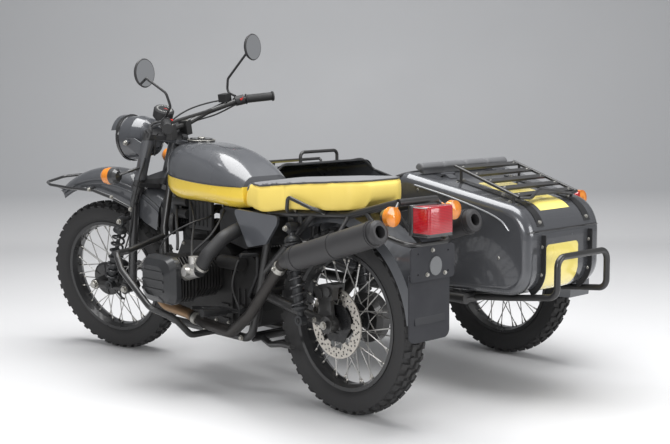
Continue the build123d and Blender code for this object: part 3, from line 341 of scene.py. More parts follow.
def eased(points, steps=8, closed=False):
    """A smooth run of places through the given ones."""
    count = len(points)
    result = []
    for i in range(count if closed else count - 1):
        near, far = points[i], points[(i + 1) % count]
        before = points[i - 1] if closed or i else near * 2 - far
        after = points[(i + 2) % count] if closed or i + 2 < count else far * 2 - near
        for step in range(steps):
            t = step / steps
            result.append((near * 2 + (far - before) * t + (before * 2 - near * 5 + far * 4 - after) * t * t
                           + (near * 3 - before - far * 3 + after) * t ** 3) * 0.5)
    return result if closed else result + [points[-1]]


def loop_of(vert):
    """The ring of edges that a lone vertex of a circle lies on."""
    found, here = [], vert
    while True:
        onward = next((edge for edge in here.link_edges if edge not in found), None)
        if onward is None:
            return found
        found.append(onward)
        here = onward.other_vert(here)


def swept(mesh, path, radius, sides=8, closed=False, flat=1.0, turn=0.0):
    """A round, flattened or four-sided bar along a path: rings set square to it, bridged one to the next."""
    count = len(path)
    rings, side = [], None
    for i, point in enumerate(path):
        before = path[i - 1] if closed or i else point
        after = path[(i + 1) % count] if closed or i + 1 < count else point
        ahead = (after - before).normalized()
        if side is None:
            side = ahead.cross(Vector((0, 0, 1) if abs(ahead.z) < 0.9 else (0, 1, 0))).normalized()
        else:
            side = (side - ahead * side.dot(ahead)).normalized()
        place = Matrix.Translation(point) @ Matrix((side, ahead.cross(side), ahead)).transposed().to_4x4()
        place = place @ Matrix.Diagonal((1, flat, 1, 1)) @ Matrix.Rotation(turn, 4, "Z")
        ring = bmesh.ops.create_circle(mesh, cap_ends=False, segments=sides, radius=radius, matrix=place)["verts"]
        rings.append(loop_of(ring[0]))
    for near, far in list(zip(rings, rings[1:])) + ([(rings[-1], rings[0])] if closed else []):
        bmesh.ops.bridge_loops(mesh, edges=near + far)
    if not closed:
        for ring in (rings[0], rings[-1]):
            bmesh.ops.edgeloop_fill(mesh, edges=ring)


def turned(mesh, profile, steps, place=Matrix()):
    """Spins a profile of radius, width pairs about an axle along Y, or along Y of a placement."""
    verts = [mesh.verts.new((radius, width, 0)) for radius, width in profile]
    edges = [mesh.edges.new(pair) for pair in zip(verts, verts[1:])]
    bmesh.ops.spin(mesh, geom=verts + edges, cent=(0, 0, 0), axis=(0, 1, 0), angle=tau, steps=steps,
                   use_merge=True)
    fresh = {vert for edge in edges for vert in edge.verts if vert.is_valid}
    grown = list(fresh)
    while grown:
        vert = grown.pop()
        for edge in vert.link_edges:
            other = edge.other_vert(vert)
            if other not in fresh:
                fresh.add(other)
                grown.append(other)
    fresh = list(fresh)
    bmesh.ops.remove_doubles(mesh, verts=fresh, dist=0.00005)
    fresh = [vert for vert in fresh if vert.is_valid]
    bmesh.ops.recalc_face_normals(mesh, faces=list({face for vert in fresh for face in vert.link_faces}))
    bmesh.ops.transform(mesh, matrix=place, verts=fresh)


def block(mesh, corner, opposite, round_by):
    """A box between two corners, with its edges rounded."""
    low, high = Vector(map(min, corner, opposite)), Vector(map(max, corner, opposite))
    verts = bmesh.ops.create_cube(mesh, size=1.0, matrix=Matrix.Translation((low + high) / 2)
                                  @ Matrix.Diagonal((*(high - low), 1)))["verts"]
    rounded(mesh, list({edge for vert in verts for edge in vert.link_edges}), round_by, 3)


def skin(data):
    """A mesh that lines can be cast at."""
    return BVHTree.FromPolygons([vert.co for vert in data.vertices], [face.vertices[:] for face in data.polygons])


skins = {}


def touch(names, start, direction):
    """Where a line first meets some surfaces, the way the surface faces there, and how far away that is."""
    best = None
    for name in names:
        if name not in skins:
            skins[name] = skin(nodes[name].data)
        where, normal, _, distance = skins[name].ray_cast(start, Vector(direction).normalized())
        if where is not None and (best is None or distance < best[2]):
            best = (where, normal, distance)
    return best


def touches(names, rays, lift=0.0):
    """The places, raised by lift, where lines meet some surfaces; lines that miss are left out."""
    return [found[0] + found[1] * lift for found in (touch(names, *ray) for ray in rays) if found]

# ---- Frames
# Welded steel tube in black satin paint: the machine's cradle and the chassis under the sidecar, which hang
# together on struts with clamped eyes.
frame_paint = Finish("frame_black", (0.018, 0.018, 0.019), 0.38, coat=0.3).uneven(0.3, 0.48)
frame_paint.mottled(frame_paint.noise(7.0, 5.0, 0.6), ((0.012, 0.012, 0.013), (0.028, 0.027, 0.026)))
coat_node(frame_paint, "frame", "swingarm", "sidecar_frame", "sidecar_swingarm", "sidecar_bumper", "crash_bars",
          "centre_stand", "rear_rail", "leading_link", "handlebar", "nose_rack", "trunk_rack", "cockpit_handle")
zinc = Finish("zinc_fasteners", (0.42, 0.41, 0.38), 0.34, metallic=0.9).uneven(0.28, 0.5, 40.0)
black_fasteners = Finish("black_fasteners", (0.02, 0.02, 0.021), 0.4, metallic=0.3).uneven(0.35, 0.5, 40.0)
clamps = bmesh.new()
for low, high, radius in ((at(0.93, -0.115, 0.222), at(0.93, -0.44, 0.385), 0.015),
                          (at(1.042, -0.086, 0.6), at(0.9, -0.44, 0.385), 0.014),
                          (at(0.338, -0.118, 0.53), at(0.3, -0.44, 0.385), 0.014)):
    along = (high - low).normalized()
    outward = along.cross(Vector((0, 0, 1))).normalized()
    for end, inward in ((low, along), (high, -along)):
        band(clamps, end + inward * 0.052, along, radius, 0.022, 0.004)
        band(clamps, end + inward * 0.084, along, radius, 0.008, 0.003)
        bolt(clamps, end + inward * 0.052 + outward * (radius + 0.003), outward, 0.014)
piece("strut_clamps", clamps, "chassis", black_fasteners)
frame_bolts = bmesh.new()
side_bolts(frame_bolts, [(0.366, 0.119, 0.402)], 0.02)
side_bolts(frame_bolts, [(0, 0.13, 0.341)], 0.02, sides=(1,))
side_bolts(frame_bolts, [(0.134, 0.186, 0.68)], 0.014)
side_bolts(frame_bolts, [(0.47, 0.132, 0.222), (0.7, 0.132, 0.222), (0.985, 0.132, 0.245), (0.06, 0.119, 0.352),
                         (0.3, 0.128, 0.7)], 0.014, sides=(1,))
piece("frame_bolts", frame_bolts, "chassis", zinc)

# ---- Tyres
# Cross-country rubber on 19-inch rims: a plain sidewall, and four rows of moulded blocks round the crown.
tread_rows = [(-0.0365, 0.024, 0.0), (-0.0135, 0.019, 0.5), (0.0135, 0.019, 0.0), (0.0365, 0.024, 0.5)]
tread_pitches = 46
block_height = 0.0085
steer_joint = joints["steering"]
steer_pivot = Vector(steer_joint["pos_m"])
rest_turn = -radians(sum(steer_joint["range_deg"]) / 2)
steered = (Matrix.Translation(steer_pivot) @ Matrix.Rotation(rest_turn, 4, Vector(steer_joint["axis"]))
           @ Matrix.Translation(-steer_pivot))
wheels = {
    "front": steered @ Matrix.Translation(at(front_axle_x, 0, wheel_radius)),
    "rear": Matrix.Translation(rear_axle),
    "sidecar": Matrix.Translation(Vector(joints["sidecar_wheel_spin"]["pos_m"])),
}


def crown(width):
    """Radius of the carcass under the blocks, at a distance from the centre plane."""
    return wheel_radius - block_height - 5.6 * width * width


def tyre_mesh():
    mesh = bmesh.new()
    wall = [(0.2545, 0.031), (0.262, 0.0385), (0.268, 0.0445), (0.272, 0.0462), (0.285, 0.0505), (0.298, 0.0516),
            (0.311, 0.05), (0.3205, 0.0475)]
    profile = [(radius, -width) for radius, width in wall]
    profile += [(crown(width), width) for width in (-0.042, -0.03, -0.015, 0.0, 0.015, 0.03, 0.042)]
    profile += reversed(wall)
    profile += [(0.244, 0.0305), (0.244, -0.0305), (0.2545, -0.031)]
    turned(mesh, profile, 96)
    step = tau / tread_pitches
    for width, size, lag in tread_rows:
        long = step * wheel_radius * (0.56 if abs(width) > 0.03 else 0.66)
        height = crown(width) + block_height / 2 - 0.0034
        for i in range(tread_pitches):
            lug = bmesh.ops.create_cube(mesh, size=1.0)["verts"]
            bmesh.ops.scale(mesh, vec=(block_height + 0.006, size, long), verts=lug)
            for vert in lug:
                if vert.co.x > 0:
                    vert.co.y *= 0.86
                    vert.co.z *= 0.86
            place = (Matrix.Rotation((i + lag) * step, 4, "Y") @ Matrix.Translation((height, width, 0))
                     @ Matrix.Rotation(atan(11.2 * width), 4, "Z")
                     @ Matrix.Rotation(0.16 if i % 2 else -0.16, 4, "X"))
            bmesh.ops.transform(mesh, matrix=place, verts=lug)
    return mesh


rubber = Finish("tyre_rubber", (0.022, 0.022, 0.023), 0.72, specular=0.4).grain(900.0, 0.25, 0.0002)
rubber.mottled(rubber.noise(14.0, 5.0, 0.62), ((0.017, 0.017, 0.018), (0.044, 0.043, 0.043)), (0.62, 0.85))
for wheel, place in wheels.items():
    made = piece(wheel + "_tyre_tread", tyre_mesh(), wheel + "_wheel", rubber, place)
    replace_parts(made, wheel + "_tyre")

# ---- Wheels
# Black alloy rims laced to black hubs with plain steel spokes, a plated nipple on each at the rim.
nipple_finish = Finish("spoke_nipples", (0.6, 0.58, 0.54), 0.3, metallic=1.0).uneven(0.25, 0.45, 60.0)
spokes_a_side = 20
for wheel, place in wheels.items():
    rim = Finish(wheel + "_rim_and_spokes", (0.02, 0.02, 0.021), 0.35, coat=0.3)
    axle = (place.to_3x3() @ Vector((0, 1, 0))).normalized()
    across = rim.add("ShaderNodeVectorMath", {"operation": "CROSS_PRODUCT"}, rim.place(place.translation),
                     tuple(axle))
    radius = rim.add("ShaderNodeVectorMath", {"operation": "LENGTH"}, across, output=1)
    wire = (radius > 0.0615) * (radius < 0.2285)
    rim.feed("Base Color", rim.mix(wire, (0.018, 0.018, 0.019), (0.62, 0.61, 0.59)))
    rim.feed("Metallic", wire * 0.95 + 0.02)
    rim.feed("Roughness", rim.noise(30.0) * 0.16 + 0.22)
    coat_node(rim, wheel + "_rim")
    nipples = bmesh.new()
    for side in (1, -1):
        for i in range(spokes_a_side):
            start = (i + (0.5 if side < 0 else 0)) * tau / spokes_a_side
            end = start + radians(38 if i % 2 else -38)
            inner = Vector((0.054 * cos(start), 0.038 * side, 0.054 * sin(start)))
            outer = Vector((0.23 * cos(end), 0.009 * side, 0.23 * sin(end)))
            along = (outer - inner).normalized()
            cone(nipples, 8, 0.0032, 0.0042, 0.016, facing(outer - along * 0.01, along))
    piece(wheel + "_spoke_nipples", nipples, wheel + "_wheel", nipple_finish, place)
steel = Finish("disc_steel", (0.5, 0.49, 0.47), 0.3, metallic=1.0)
swirl = steel.noise(60.0, 2.0)
x, _, z = steel.parts(steel.place(rear_axle))
reach = (x * x + z * z).maths("SQRT")
turn = z.maths("ARCTAN2", x)
holes_a_ring = 26
# The drilled holes are painted black, as painted shade seen through them; the middle inside 78 mm is black as well.
dark_holes_and_middle = reach < 0.078
for ring, lag in ((0.094, 0.0), (0.106, 0.5), (0.118, 0.0)):
    step = turn * (holes_a_ring / tau) + lag
    along = (step - step.maths("FLOOR") - 0.5) * (tau * ring / holes_a_ring)
    out = reach - ring
    dark_holes_and_middle += (along * along + out * out) < 0.0036 ** 2
dark_holes_and_middle = dark_holes_and_middle > 0.5
painted_hole_shade = (0.012, 0.012, 0.013)
steel.mottled(swirl, ((0.44, 0.41, 0.37), (0.58, 0.55, 0.5)), (0.22, 0.42), dark_holes_and_middle, (painted_hole_shade, painted_hole_shade))
steel.feed("Metallic", 1.0 - dark_holes_and_middle * 0.9)
coat_node(steel, "rear_disc")
axle_nuts = bmesh.new()
side_bolts(axle_nuts, [(front_axle_x, 0.15, wheel_radius)], 0.026, 0.014)
side_bolts(axle_nuts, [(1.33, 0.152, 0.33)], 0.02, 0.01)
side_bolts(axle_nuts, [(1.276, 0.174, 0.641)], 0.016, 0.008)
piece("front_axle_nuts", axle_nuts, "steering", zinc, steered)

# ---- Springs
# A gas damper in a dark can with a coil spring round it stands beside each end of the machine, on bonded eyes.
spring_black = Finish("spring_black", (0.02, 0.02, 0.022), 0.3, coat=0.5).uneven(0.25, 0.4, 20.0)
damper_grey = Finish("damper_cans", (0.035, 0.036, 0.038), 0.42, metallic=0.4).uneven(0.35, 0.5, 20.0)
wire, steps_a_turn = 0.0048, 18


def spring_and_damper(coils, cans, bottom, top, width, turns):
    """A helix set between two cups on a damper body, with an eye at each end."""
    length = (top - bottom).length
    low, high = 0.048, length - 0.048
    rim = width / 2
    coil = rim - wire
    place = facing(bottom, top - bottom)
    path = []
    for i in range(turns * steps_a_turn + 1):
        angle = tau * i / steps_a_turn
        climb = min(max((i / steps_a_turn - 0.6) / (turns - 1.2), 0), 1)
        path.append(place @ Vector((coil * cos(angle), coil * sin(angle), low + (high - low) * climb)))
    swept(coils, path, wire)
    turned(cans, [(0, 0.012), (0.012, 0.012), (0.013, 0.03), (0.019, 0.036), (rim - 0.002, low - 0.006),
                  (rim, low - 0.002), (rim, low), (0.02, low + 0.001), (0.0195, length * 0.55),
                  (0.0085, length * 0.56), (0.0085, high - 0.001), (rim, high), (rim, high + 0.003),
                  (0.026, high + 0.014), (0.014, high + 0.022), (0.012, length - 0.012), (0, length - 0.012)], 28,
           standing(bottom, top - bottom) @ Matrix.Diagonal((1, 1, -1, 1)))
    for end in (bottom, top):
        turned(cans, [(0.0195, -0.014), (0.0095, -0.014), (0.0095, 0.014), (0.0195, 0.014), (0.0195, -0.014)], 24,
               Matrix.Translation(end))


for name, body, place, width, turns, ends in (
        ("rear_shock", "chassis", Matrix(), 0.062, 9, ((0.085, 0.16, 0.352), (0.134, 0.16, 0.681))),
        ("front_shock", "steering", steered, 0.06, 8, ((1.4, 0.158, 0.35), (1.276, 0.158, 0.641)))):
    coils, cans = bmesh.new(), bmesh.new()
    for side in (1, -1):
        low, high = [at(x, y * side, z) for x, y, z in ends]
        spring_and_damper(coils, cans, low, high, width, turns)
    made = piece(name + "_dampers", cans, body, damper_grey, place)
    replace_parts(made, name + "s")
    piece(name + "_coils", coils, body, spring_black, place)

# ---- Engine
# An air-cooled flat twin in black-painted cast alloy, with a ribbed cover on each head and a lead to each plug.
engine_black = Finish("engine_black", (0.03, 0.03, 0.032), 0.5, metallic=0.4).grain(420, 0.25)
engine_black.mottled(engine_black.noise(11.0, 5.0, 0.6), ((0.018, 0.018, 0.019), (0.038, 0.037, 0.036)), (0.42, 0.62))
coat_node(engine_black, "engine_case", "cylinders")
cover_paint = Finish("rocker_cover_paint", (0.026, 0.027, 0.029), 0.34, metallic=0.3, coat=0.4).grain(260, 0.18)
cover_paint.uneven(0.3, 0.46)
coat_node(cover_paint, "rocker_covers")
moulded = Finish("moulded_black", (0.02, 0.02, 0.021), 0.55).uneven(0.48, 0.62).grain(700, 0.2)
coat_node(moulded, "airbox", "gauge", "bar_controls", "mirrors")


def bolt_circle(count, radius, lag=0.0):
    """The places of some bolts round a circle."""
    turns = [tau * (i + lag) / count for i in range(count)]
    return [(radius * cos(turn), radius * sin(turn)) for turn in turns]


case_bolts = bmesh.new()
side_bolts(case_bolts, [(x, 0.3385, z) for x in (0.61, 0.79) for z in (0.385, 0.509)], 0.01)
side_bolts(case_bolts, [(0.845 + x, 0.101, 0.395 + z) for x, z in bolt_circle(8, 0.049, 0.5)], 0.008, 0.005)
side_bolts(case_bolts, [(x, 0.0922, z) for x, z in (
    (0.6, 0.258), (0.68, 0.258), (0.76, 0.258), (0.84, 0.258), (0.9, 0.262), (0.944, 0.312), (0.946, 0.455),
    (0.892, 0.545), (0.66, 0.56))], 0.009, 0.005)
for y, z in bolt_circle(6, 0.066):
    bolt(case_bolts, at(0.983, y, 0.4 + z), (1, 0, 0), 0.009, 0.005)
piece("engine_bolts", case_bolts, "chassis", zinc)
plug_leads = bmesh.new()
for side in (1, -1):
    swept(plug_leads, eased([at(x, side * y, z) for x, y, z in (
        (0.748, 0.3, 0.512), (0.76, 0.296, 0.56), (0.742, 0.262, 0.61), (0.706, 0.19, 0.65),
        (0.69, 0.12, 0.668), (0.7, 0.062, 0.69))], 6), 0.0036)
    turned(plug_leads, [(0, -0.03), (0.007, -0.03), (0.0095, -0.02), (0.011, 0.0), (0.0085, 0.018), (0.0045, 0.03),
                        (0, 0.03)], 18, standing(at(0.748, side * 0.3, 0.527), (0, 0, 1)))
piece("spark_plug_leads", plug_leads, "chassis", moulded)
control_rods = bmesh.new()
swept(control_rods, eased([at(0.452, 0.15, 0.33), at(0.5, 0.148, 0.42), at(0.47, 0.15, 0.505),
                           at(0.455, 0.149, 0.53)], 6), 0.004)
piece("gear_linkage", control_rods, "chassis", frame_paint)

# ---- Intakes
# A silver throttle body on the back of each head, and a black rubber elbow held by two worm clamps.
cast_alloy = Finish("cast_alloy", (0.52, 0.52, 0.5), 0.42, metallic=0.9).grain(300, 0.3)
body_part = cast_alloy.spot()[0] > 0.5185
cast_alloy.feed("Base Color", cast_alloy.mix(body_part, (0.022, 0.022, 0.023), (0.56, 0.55, 0.53)))
cast_alloy.feed("Metallic", body_part * 0.9)
cast_alloy.feed("Roughness", 0.58 - body_part * 0.2 + cast_alloy.noise(25.0) * 0.06)
coat_node(cast_alloy, "intakes")
hose_clamps = bmesh.new()
for side in (1, -1):
    band(hose_clamps, at(0.512, side * 0.2825, 0.512), (-0.62, side * -0.2, 0.75), 0.0272, 0.01, 0.002)
    band(hose_clamps, at(0.594, side * 0.284, 0.4825), (0.973, 0, -0.232), 0.0292, 0.008, 0.003)
    bolt(hose_clamps, at(0.52, side * 0.3, 0.532), (0, side * 0.6, 0.8), 0.008, 0.006)
piece("hose_clamps", hose_clamps, "chassis", zinc)

# ---- Exhaust
# Steel headers browned by heat near the ports run under the cylinders to a long black silencer on each side.
pipe_finish = Finish("header_steel", (0.1, 0.085, 0.072), 0.42, metallic=0.75)
heat = pipe_finish.noise(18.0, 4.0, 0.6)
warm = pipe_finish.spot()[0].ranged(0.0, 1.0, 0.655, 0.675) * (heat * 0.6 + 0.6)
pipe_finish.feed("Base Color", pipe_finish.mix(warm, (0.044, 0.041, 0.039), (0.3, 0.19, 0.105)))
pipe_finish.feed("Roughness", heat.ranged(0.34, 0.52))
coat_node(pipe_finish, "exhaust_pipes")
silencer_finish = Finish("silencer_black", (0.045, 0.042, 0.04), 0.5, metallic=0.3)
silencer_finish.mottled(silencer_finish.noise(9.0, 5.0, 0.6), ((0.034, 0.034, 0.036), (0.058, 0.056, 0.057)),
                        (0.42, 0.6))
coat_node(silencer_finish, "silencers")
pedal_black = Finish("pedal_black", (0.02, 0.02, 0.021), 0.42, metallic=0.3).uneven(0.34, 0.55, 40.0)
coat_node(pedal_black.grain(260.0, 0.3), "foot_controls")
pipe_clamps = bmesh.new()
bands = bmesh.new()
for side in (1, -1):
    joint, back = at(0.096, side * 0.23, 0.569), at(-0.391, side * 0.23, 0.72)
    along = (joint - at(0.3, side * 0.222, 0.35)).normalized()
    clamp = joint - along * 0.034
    band(pipe_clamps, clamp, along, 0.021, 0.022, 0.004)
    bolt(pipe_clamps, clamp + Vector((0, side * 0.025, 0)), (0, side, 0), 0.01)
    band(pipe_clamps, at(0.645, side * 0.215, 0.286), (0.93, side * 0.13, 0.3), 0.021, 0.02, 0.004)
    for share, width in ((0.16, 0.012), (0.55, 0.012), (0.93, 0.006)):
        band(bands, joint + (back - joint) * share, (back - joint).normalized(), 0.044, width, 0.002)
piece("exhaust_clamps", pipe_clamps, "chassis", zinc)
piece("silencer_bands", bands, "chassis", silencer_finish)

# ---- Electrics and lines over the engine
# A finned regulator hangs on the frame's front cross tube; looms, throttle cables and fuel hoses run down from it
# and from the backbone to the throttle bodies.
regulator = bmesh.new()
block(regulator, at(0.962, -0.072, 0.612), at(0.996, 0.072, 0.7), 0.003)
for i in range(10):
    y = -0.063 + 0.014 * i
    block(regulator, at(0.945, y - 0.0022, 0.618), at(0.966, y + 0.0022, 0.694), 0.0008)
block(regulator, at(0.996, -0.045, 0.58), at(1.002, 0.045, 0.69), 0.0015)
block(regulator, at(0.998, -0.045, 0.577), at(1.032, 0.045, 0.583), 0.0015)
piece("regulator", regulator, "chassis", cover_paint)
lines, unions = bmesh.new(), bmesh.new()
for side in (1, -1):
    for radius, route in (
            (0.006, ((0.985, 0.05, 0.7), (0.96, 0.062, 0.745), (0.88, 0.06, 0.772), (0.76, 0.06, 0.752),
                     (0.64, 0.062, 0.735))),
            (0.0045, ((0.94, 0.04, 0.775), (0.86, 0.085, 0.74), (0.74, 0.15, 0.66), (0.65, 0.225, 0.59),
                      (0.59, 0.27, 0.555), (0.566, 0.284, 0.528))),
            (0.006, ((0.985, 0.058, 0.69), (0.93, 0.1, 0.7), (0.83, 0.17, 0.64), (0.76, 0.215, 0.58),
                     (0.735, 0.235, 0.548))),
            (0.0045, ((0.64, 0.075, 0.722), (0.6, 0.11, 0.69), (0.57, 0.19, 0.62), (0.585, 0.262, 0.56),
                      (0.598, 0.284, 0.52)))):
        swept(lines, eased([at(x, side * y, z) for x, y, z in route], 6), radius)
    turned(unions, [(0, -0.012), (0.009, -0.012), (0.011, -0.006), (0.011, 0.006), (0.007, 0.01), (0.007, 0.02),
                    (0, 0.02)], 20, standing(at(0.64, side * 0.072, 0.722), (0, 0, 1)))
    bolt(unions, at(1.005, side * 0.03, 0.583), (0, 0, 1), 0.01, 0.006)
    bolt(unions, at(0.9955, side * 0.06, 0.656), (1, 0, 0), 0.01, 0.006)
piece("engine_lines", lines, "chassis", moulded)
piece("line_unions", unions, "chassis", zinc)

# ---- Electrics beside the backbone
# Control unit, coils and a horn hang between the tank and the engine, outside the backbone's clear room.
electrics = bmesh.new()
for side in (1, -1):
    block(electrics, at(0.69, 0.083 * side, 0.612), at(0.842, 0.104 * side, 0.742), 0.006)
    for i in range(5):
        x = 0.712 + 0.027 * i
        block(electrics, at(x, 0.103 * side, 0.628), at(x + 0.008, 0.108 * side, 0.726), 0.0015)
    for z in (0.716, 0.668):
        turned(electrics, [(0, -0.045), (0.017, -0.045), (0.019, -0.04), (0.019, 0.036), (0.012, 0.045),
                           (0.007, 0.058), (0, 0.058)], 24, standing(at(0.892, 0.1 * side, z), (1, 0, 0)))
turned(electrics, [(0, -0.03), (0.02, -0.03), (0.026, -0.02), (0.044, -0.014), (0.046, -0.006), (0.044, 0.002),
                   (0.03, 0.006), (0.028, 0.002), (0.012, 0.004), (0, 0.007)], 36,
       standing(at(0.948, 0.112, 0.622), (0.75, 0.66, 0)))
block(electrics, at(0.9, -0.115, 0.5), at(1.01, 0.02, 0.596), 0.012)
block(electrics, at(0.64, -0.104, 0.6), at(0.7, -0.083, 0.735), 0.006)
piece("electrics", electrics, "chassis", moulded)

# ---- Fuel tank
# Pressed steel in two colours, slate over yellow, parted by a raised bead that runs back along both sides.
seam_back, seam_length, seam_low, seam_rise = 0.463, 0.54, 0.801, 0.035
tank_paint = Finish("tank_paint", (0.8, 0.55, 0.03), 0.3, coat=0.9)
x, _, z = tank_paint.spot()
share = (x - seam_back) / seam_length
tank_paint.mottled(tank_paint.noise(5.0, 4.0, 0.55), ((0.86, 0.6, 0.05), (0.93, 0.68, 0.09)), (0.24, 0.34),
                   z > (share * share * seam_rise + seam_low), ((0.07, 0.073, 0.08), (0.096, 0.1, 0.108)))
coat_node(tank_paint, "fuel_tank")
bead = bmesh.new()
for side in (1, -1):
    rays = []
    for i in range(29):
        x = 0.476 + 0.5 * i / 28
        z = seam_low + seam_rise * ((x - seam_back) / seam_length) ** 2
        rays.append((at(x, side * 0.4, z), (0, -side, 0)))
    swept(bead, touches(["fuel_tank"], rays, 0.0006), 0.0034, flat=0.8)
piece("tank_bead", bead, "chassis", Finish("tank_bead", (0.03, 0.03, 0.032), 0.3, coat=0.8).uneven(0.25, 0.38, 20.0))
coat_node(Finish("cap_black", (0.018, 0.018, 0.019), 0.3, coat=0.7).uneven(0.25, 0.4, 30.0), "tank_cap")
cap_trim = bmesh.new()
for steps, profile in (
        (48, [(0.0575, 0.0082), (0.0575, 0.0105), (0.0545, 0.0118), (0.051, 0.0105), (0.051, 0.0082),
              (0.0575, 0.0082)]),
        (32, [(0, 0.0165), (0.014, 0.0165), (0.016, 0.018), (0.0145, 0.0205), (0.006, 0.0212), (0.005, 0.019),
              (0, 0.019)])):
    turned(cap_trim, profile, steps, standing(at(0.885, 0, 0.953), (-0.04, 0, 1)))
piece("tank_cap_trim", cap_trim, "chassis", zinc)

# ---- Seat
# A long foam seat in two vinyls: grey on top, yellow down the sides, with piping round the edge between them.
edge_back, edge_run, edge_drop, nose_start, nose_slope = -0.17, 0.49, 0.041, 0.415, 0.9
cross_seam = 0.18


def edge_height(x):
    """Height of the seat's piped edge at a distance ahead of the rear axle."""
    return (0.859 - edge_drop * min(max((x - edge_back) / edge_run, 0.0), 1.0) ** 1.35
            - nose_slope * max(x - nose_start, 0.0))


def foam(name, node, voxel, body, finish, shape, rounds):
    """A padded piece with the CAD solid's size: rounded foam under a drawn cover, then its own seams."""
    made = placed(name, nodes[node].data.copy())
    remesh = made.modifiers.new("skin", "REMESH")
    remesh.mode = "VOXEL"
    remesh.voxel_size = voxel
    smooth = made.modifiers.new("soften", "SMOOTH")
    smooth.factor = 0.5
    smooth.iterations = rounds
    data = bpy.data.meshes.new_from_object(made.evaluated_get(bpy.context.evaluated_depsgraph_get()))
    data.name = name
    made.modifiers.clear()
    made.data = data
    data.materials.clear()
    data.materials.append(finish.material)
    mesh = bmesh.new()
    mesh.from_mesh(data)
    mesh.normal_update()
    for vert, move in [(vert, shape(vert.co - ground_under_axle, vert.normal)) for vert in mesh.verts]:
        vert.co += move
    mesh.to_mesh(data)
    mesh.free()
    for face in data.polygons:
        face.use_smooth = True
    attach(made, body)
    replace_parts(made, node)
    return made


def groove(distance, width, depth):
    """How far a seam pulls the cover in, at a distance from it."""
    return -depth * exp(-(distance / width) ** 2)


def fade(value, start, end):
    """From nought at start to one at end, smoothly."""
    share = min(max((value - start) / (end - start), 0.0), 1.0)
    return share * share * (3 - 2 * share)


def seat_shape(place, normal):
    """A crowned top, bulging sides, the seams' grooves and an arch over the rear guard."""
    x, y, z = place
    below_edge = edge_height(x) - z
    lift = 0.0
    if normal.z > 0.35:
        crown = 0.006 + 0.015 * fade(x, edge_back, 0.2) * (1 - fade(x, 0.3, 0.43))
        lift -= crown * min(abs(y) / 0.148, 1.0) ** 2.6
        push = (groove(x - cross_seam, 0.007, 0.006)
                + groove(abs(y) - 0.112, 0.006, 0.0022) * fade(x, 0.16, 0.2))
    else:
        push = (groove(0.003 - below_edge, 0.005, 0.003)
                + 0.004 * sin(pi * min(max(below_edge / 0.09, 0), 1)))
        if abs(y) > 0.12:
            push += groove(x - cross_seam, 0.005, 0.0035)
    lift += (0.024 * (1 - fade(abs(y), 0.05, 0.082)) * (1 - fade(x, -0.13, -0.05))
             * max(0.0, 1 - max(z - 0.766, 0) / 0.085))
    return normal * push + Vector((0, 0, lift))


seat_vinyl = Finish("seat_vinyl", (0.1, 0.1, 0.105), 0.55)
x, _, z = seat_vinyl.spot()
share = seat_vinyl.add("ShaderNodeMath", {"operation": "POWER", "use_clamp": True}, (x - edge_back) / edge_run, 1.35)
edge = 0.8585 - share * edge_drop - (x - nose_start).maths("MAXIMUM", 0.0) * nose_slope
top = ((z > edge) + (seat_vinyl.faces()[2] > 0.8)) > 0.5
seat_vinyl.mottled(seat_vinyl.noise(6.0, 4.0, 0.55), ((0.88, 0.66, 0.13), (0.95, 0.74, 0.19)), (0.48, 0.6), top,
                   ((0.155, 0.157, 0.165), (0.205, 0.207, 0.215)))
seat_vinyl.pebbled()
long_seat = foam("long_seat", "seat", 0.006, "chassis", seat_vinyl, seat_shape, 26)
skins["long_seat"] = skin(long_seat.data)
left_rays = [(0.44 - 0.03 * i, 0.3, 0, -1) for i in range(18)]
for turn in map(radians, range(10, 91, 10)):
    left_rays.append((-0.08 - 0.4 * sin(turn), 0.4 * cos(turn), sin(turn), -cos(turn)))
rays = [(at(x, y, edge_height(x + dx * 0.25)), (dx, dy, 0)) for x, y, dx, dy in
        left_rays + [(x, -y, dx, -dy) for x, y, dx, dy in reversed(left_rays[:-1])]]
piping = bmesh.new()
swept(piping, eased(touches(["long_seat"], rays, 0.0012), 3), 0.0034)
piping_finish = Finish("seat_piping", (0.05, 0.05, 0.052), 0.45, coat=0.2).uneven(0.38, 0.5, 40.0)
piece("seat_piping", piping, "chassis", piping_finish)

# ---- Side covers and grab rail
# Slate covers under the seat, and the screws that hold the rail.
body_grey = Finish("slate_paint", (0.085, 0.09, 0.1), 0.32, metallic=0.35, coat=1.0)
body_grey.mottled(body_grey.noise(4.0, 4.0, 0.55), ((0.098, 0.103, 0.115), (0.126, 0.132, 0.146)), (0.27, 0.37))
coat_node(body_grey, "side_covers")
rail_screws = bmesh.new()
side_bolts(rail_screws, [(0.148, 0.13, 0.738), (-0.008, 0.13, 0.744)], 0.01, 0.005)
piece("grab_rail_screws", rail_screws, "chassis", zinc)

# ---- Rear fender and lamps
# A deep steel guard with a rubber flap, the bracket with its oval pad, and a square red lamp on a black base.
fender_paint = Finish("fender_paint", (0.08, 0.083, 0.09), 0.32, metallic=0.3, coat=0.9)
x, _, z = fender_paint.spot()
flap_black = (0.022, 0.023, 0.027)
fender_paint.mottled(fender_paint.noise(5.0, 4.0, 0.6), ((0.072, 0.075, 0.083), (0.096, 0.1, 0.109)), (0.3, 0.44),
                     (x < -0.3905) * (z < 0.45), (flap_black, flap_black))
coat_node(fender_paint, "front_fender", "rear_fender", "sidecar_fender")
coat_node(Finish("flap_rubber", (0.022, 0.023, 0.028), 0.62).uneven(0.6, 0.78).grain(500, 0.2), "mudflap")
pad = bmesh.new()
disc(pad, 0.034, facing(at(-0.4082, -0.01, 0.586), (-1, 0, 0)) @ Matrix.Diagonal((0.84, 0.94, 1, 1)))
raised = bmesh.ops.extrude_face_region(pad, geom=list(pad.faces))["geom"]
bmesh.ops.translate(pad, vec=(-0.004, 0, 0), verts=[part for part in raised if isinstance(part, bmesh.types.BMVert)])
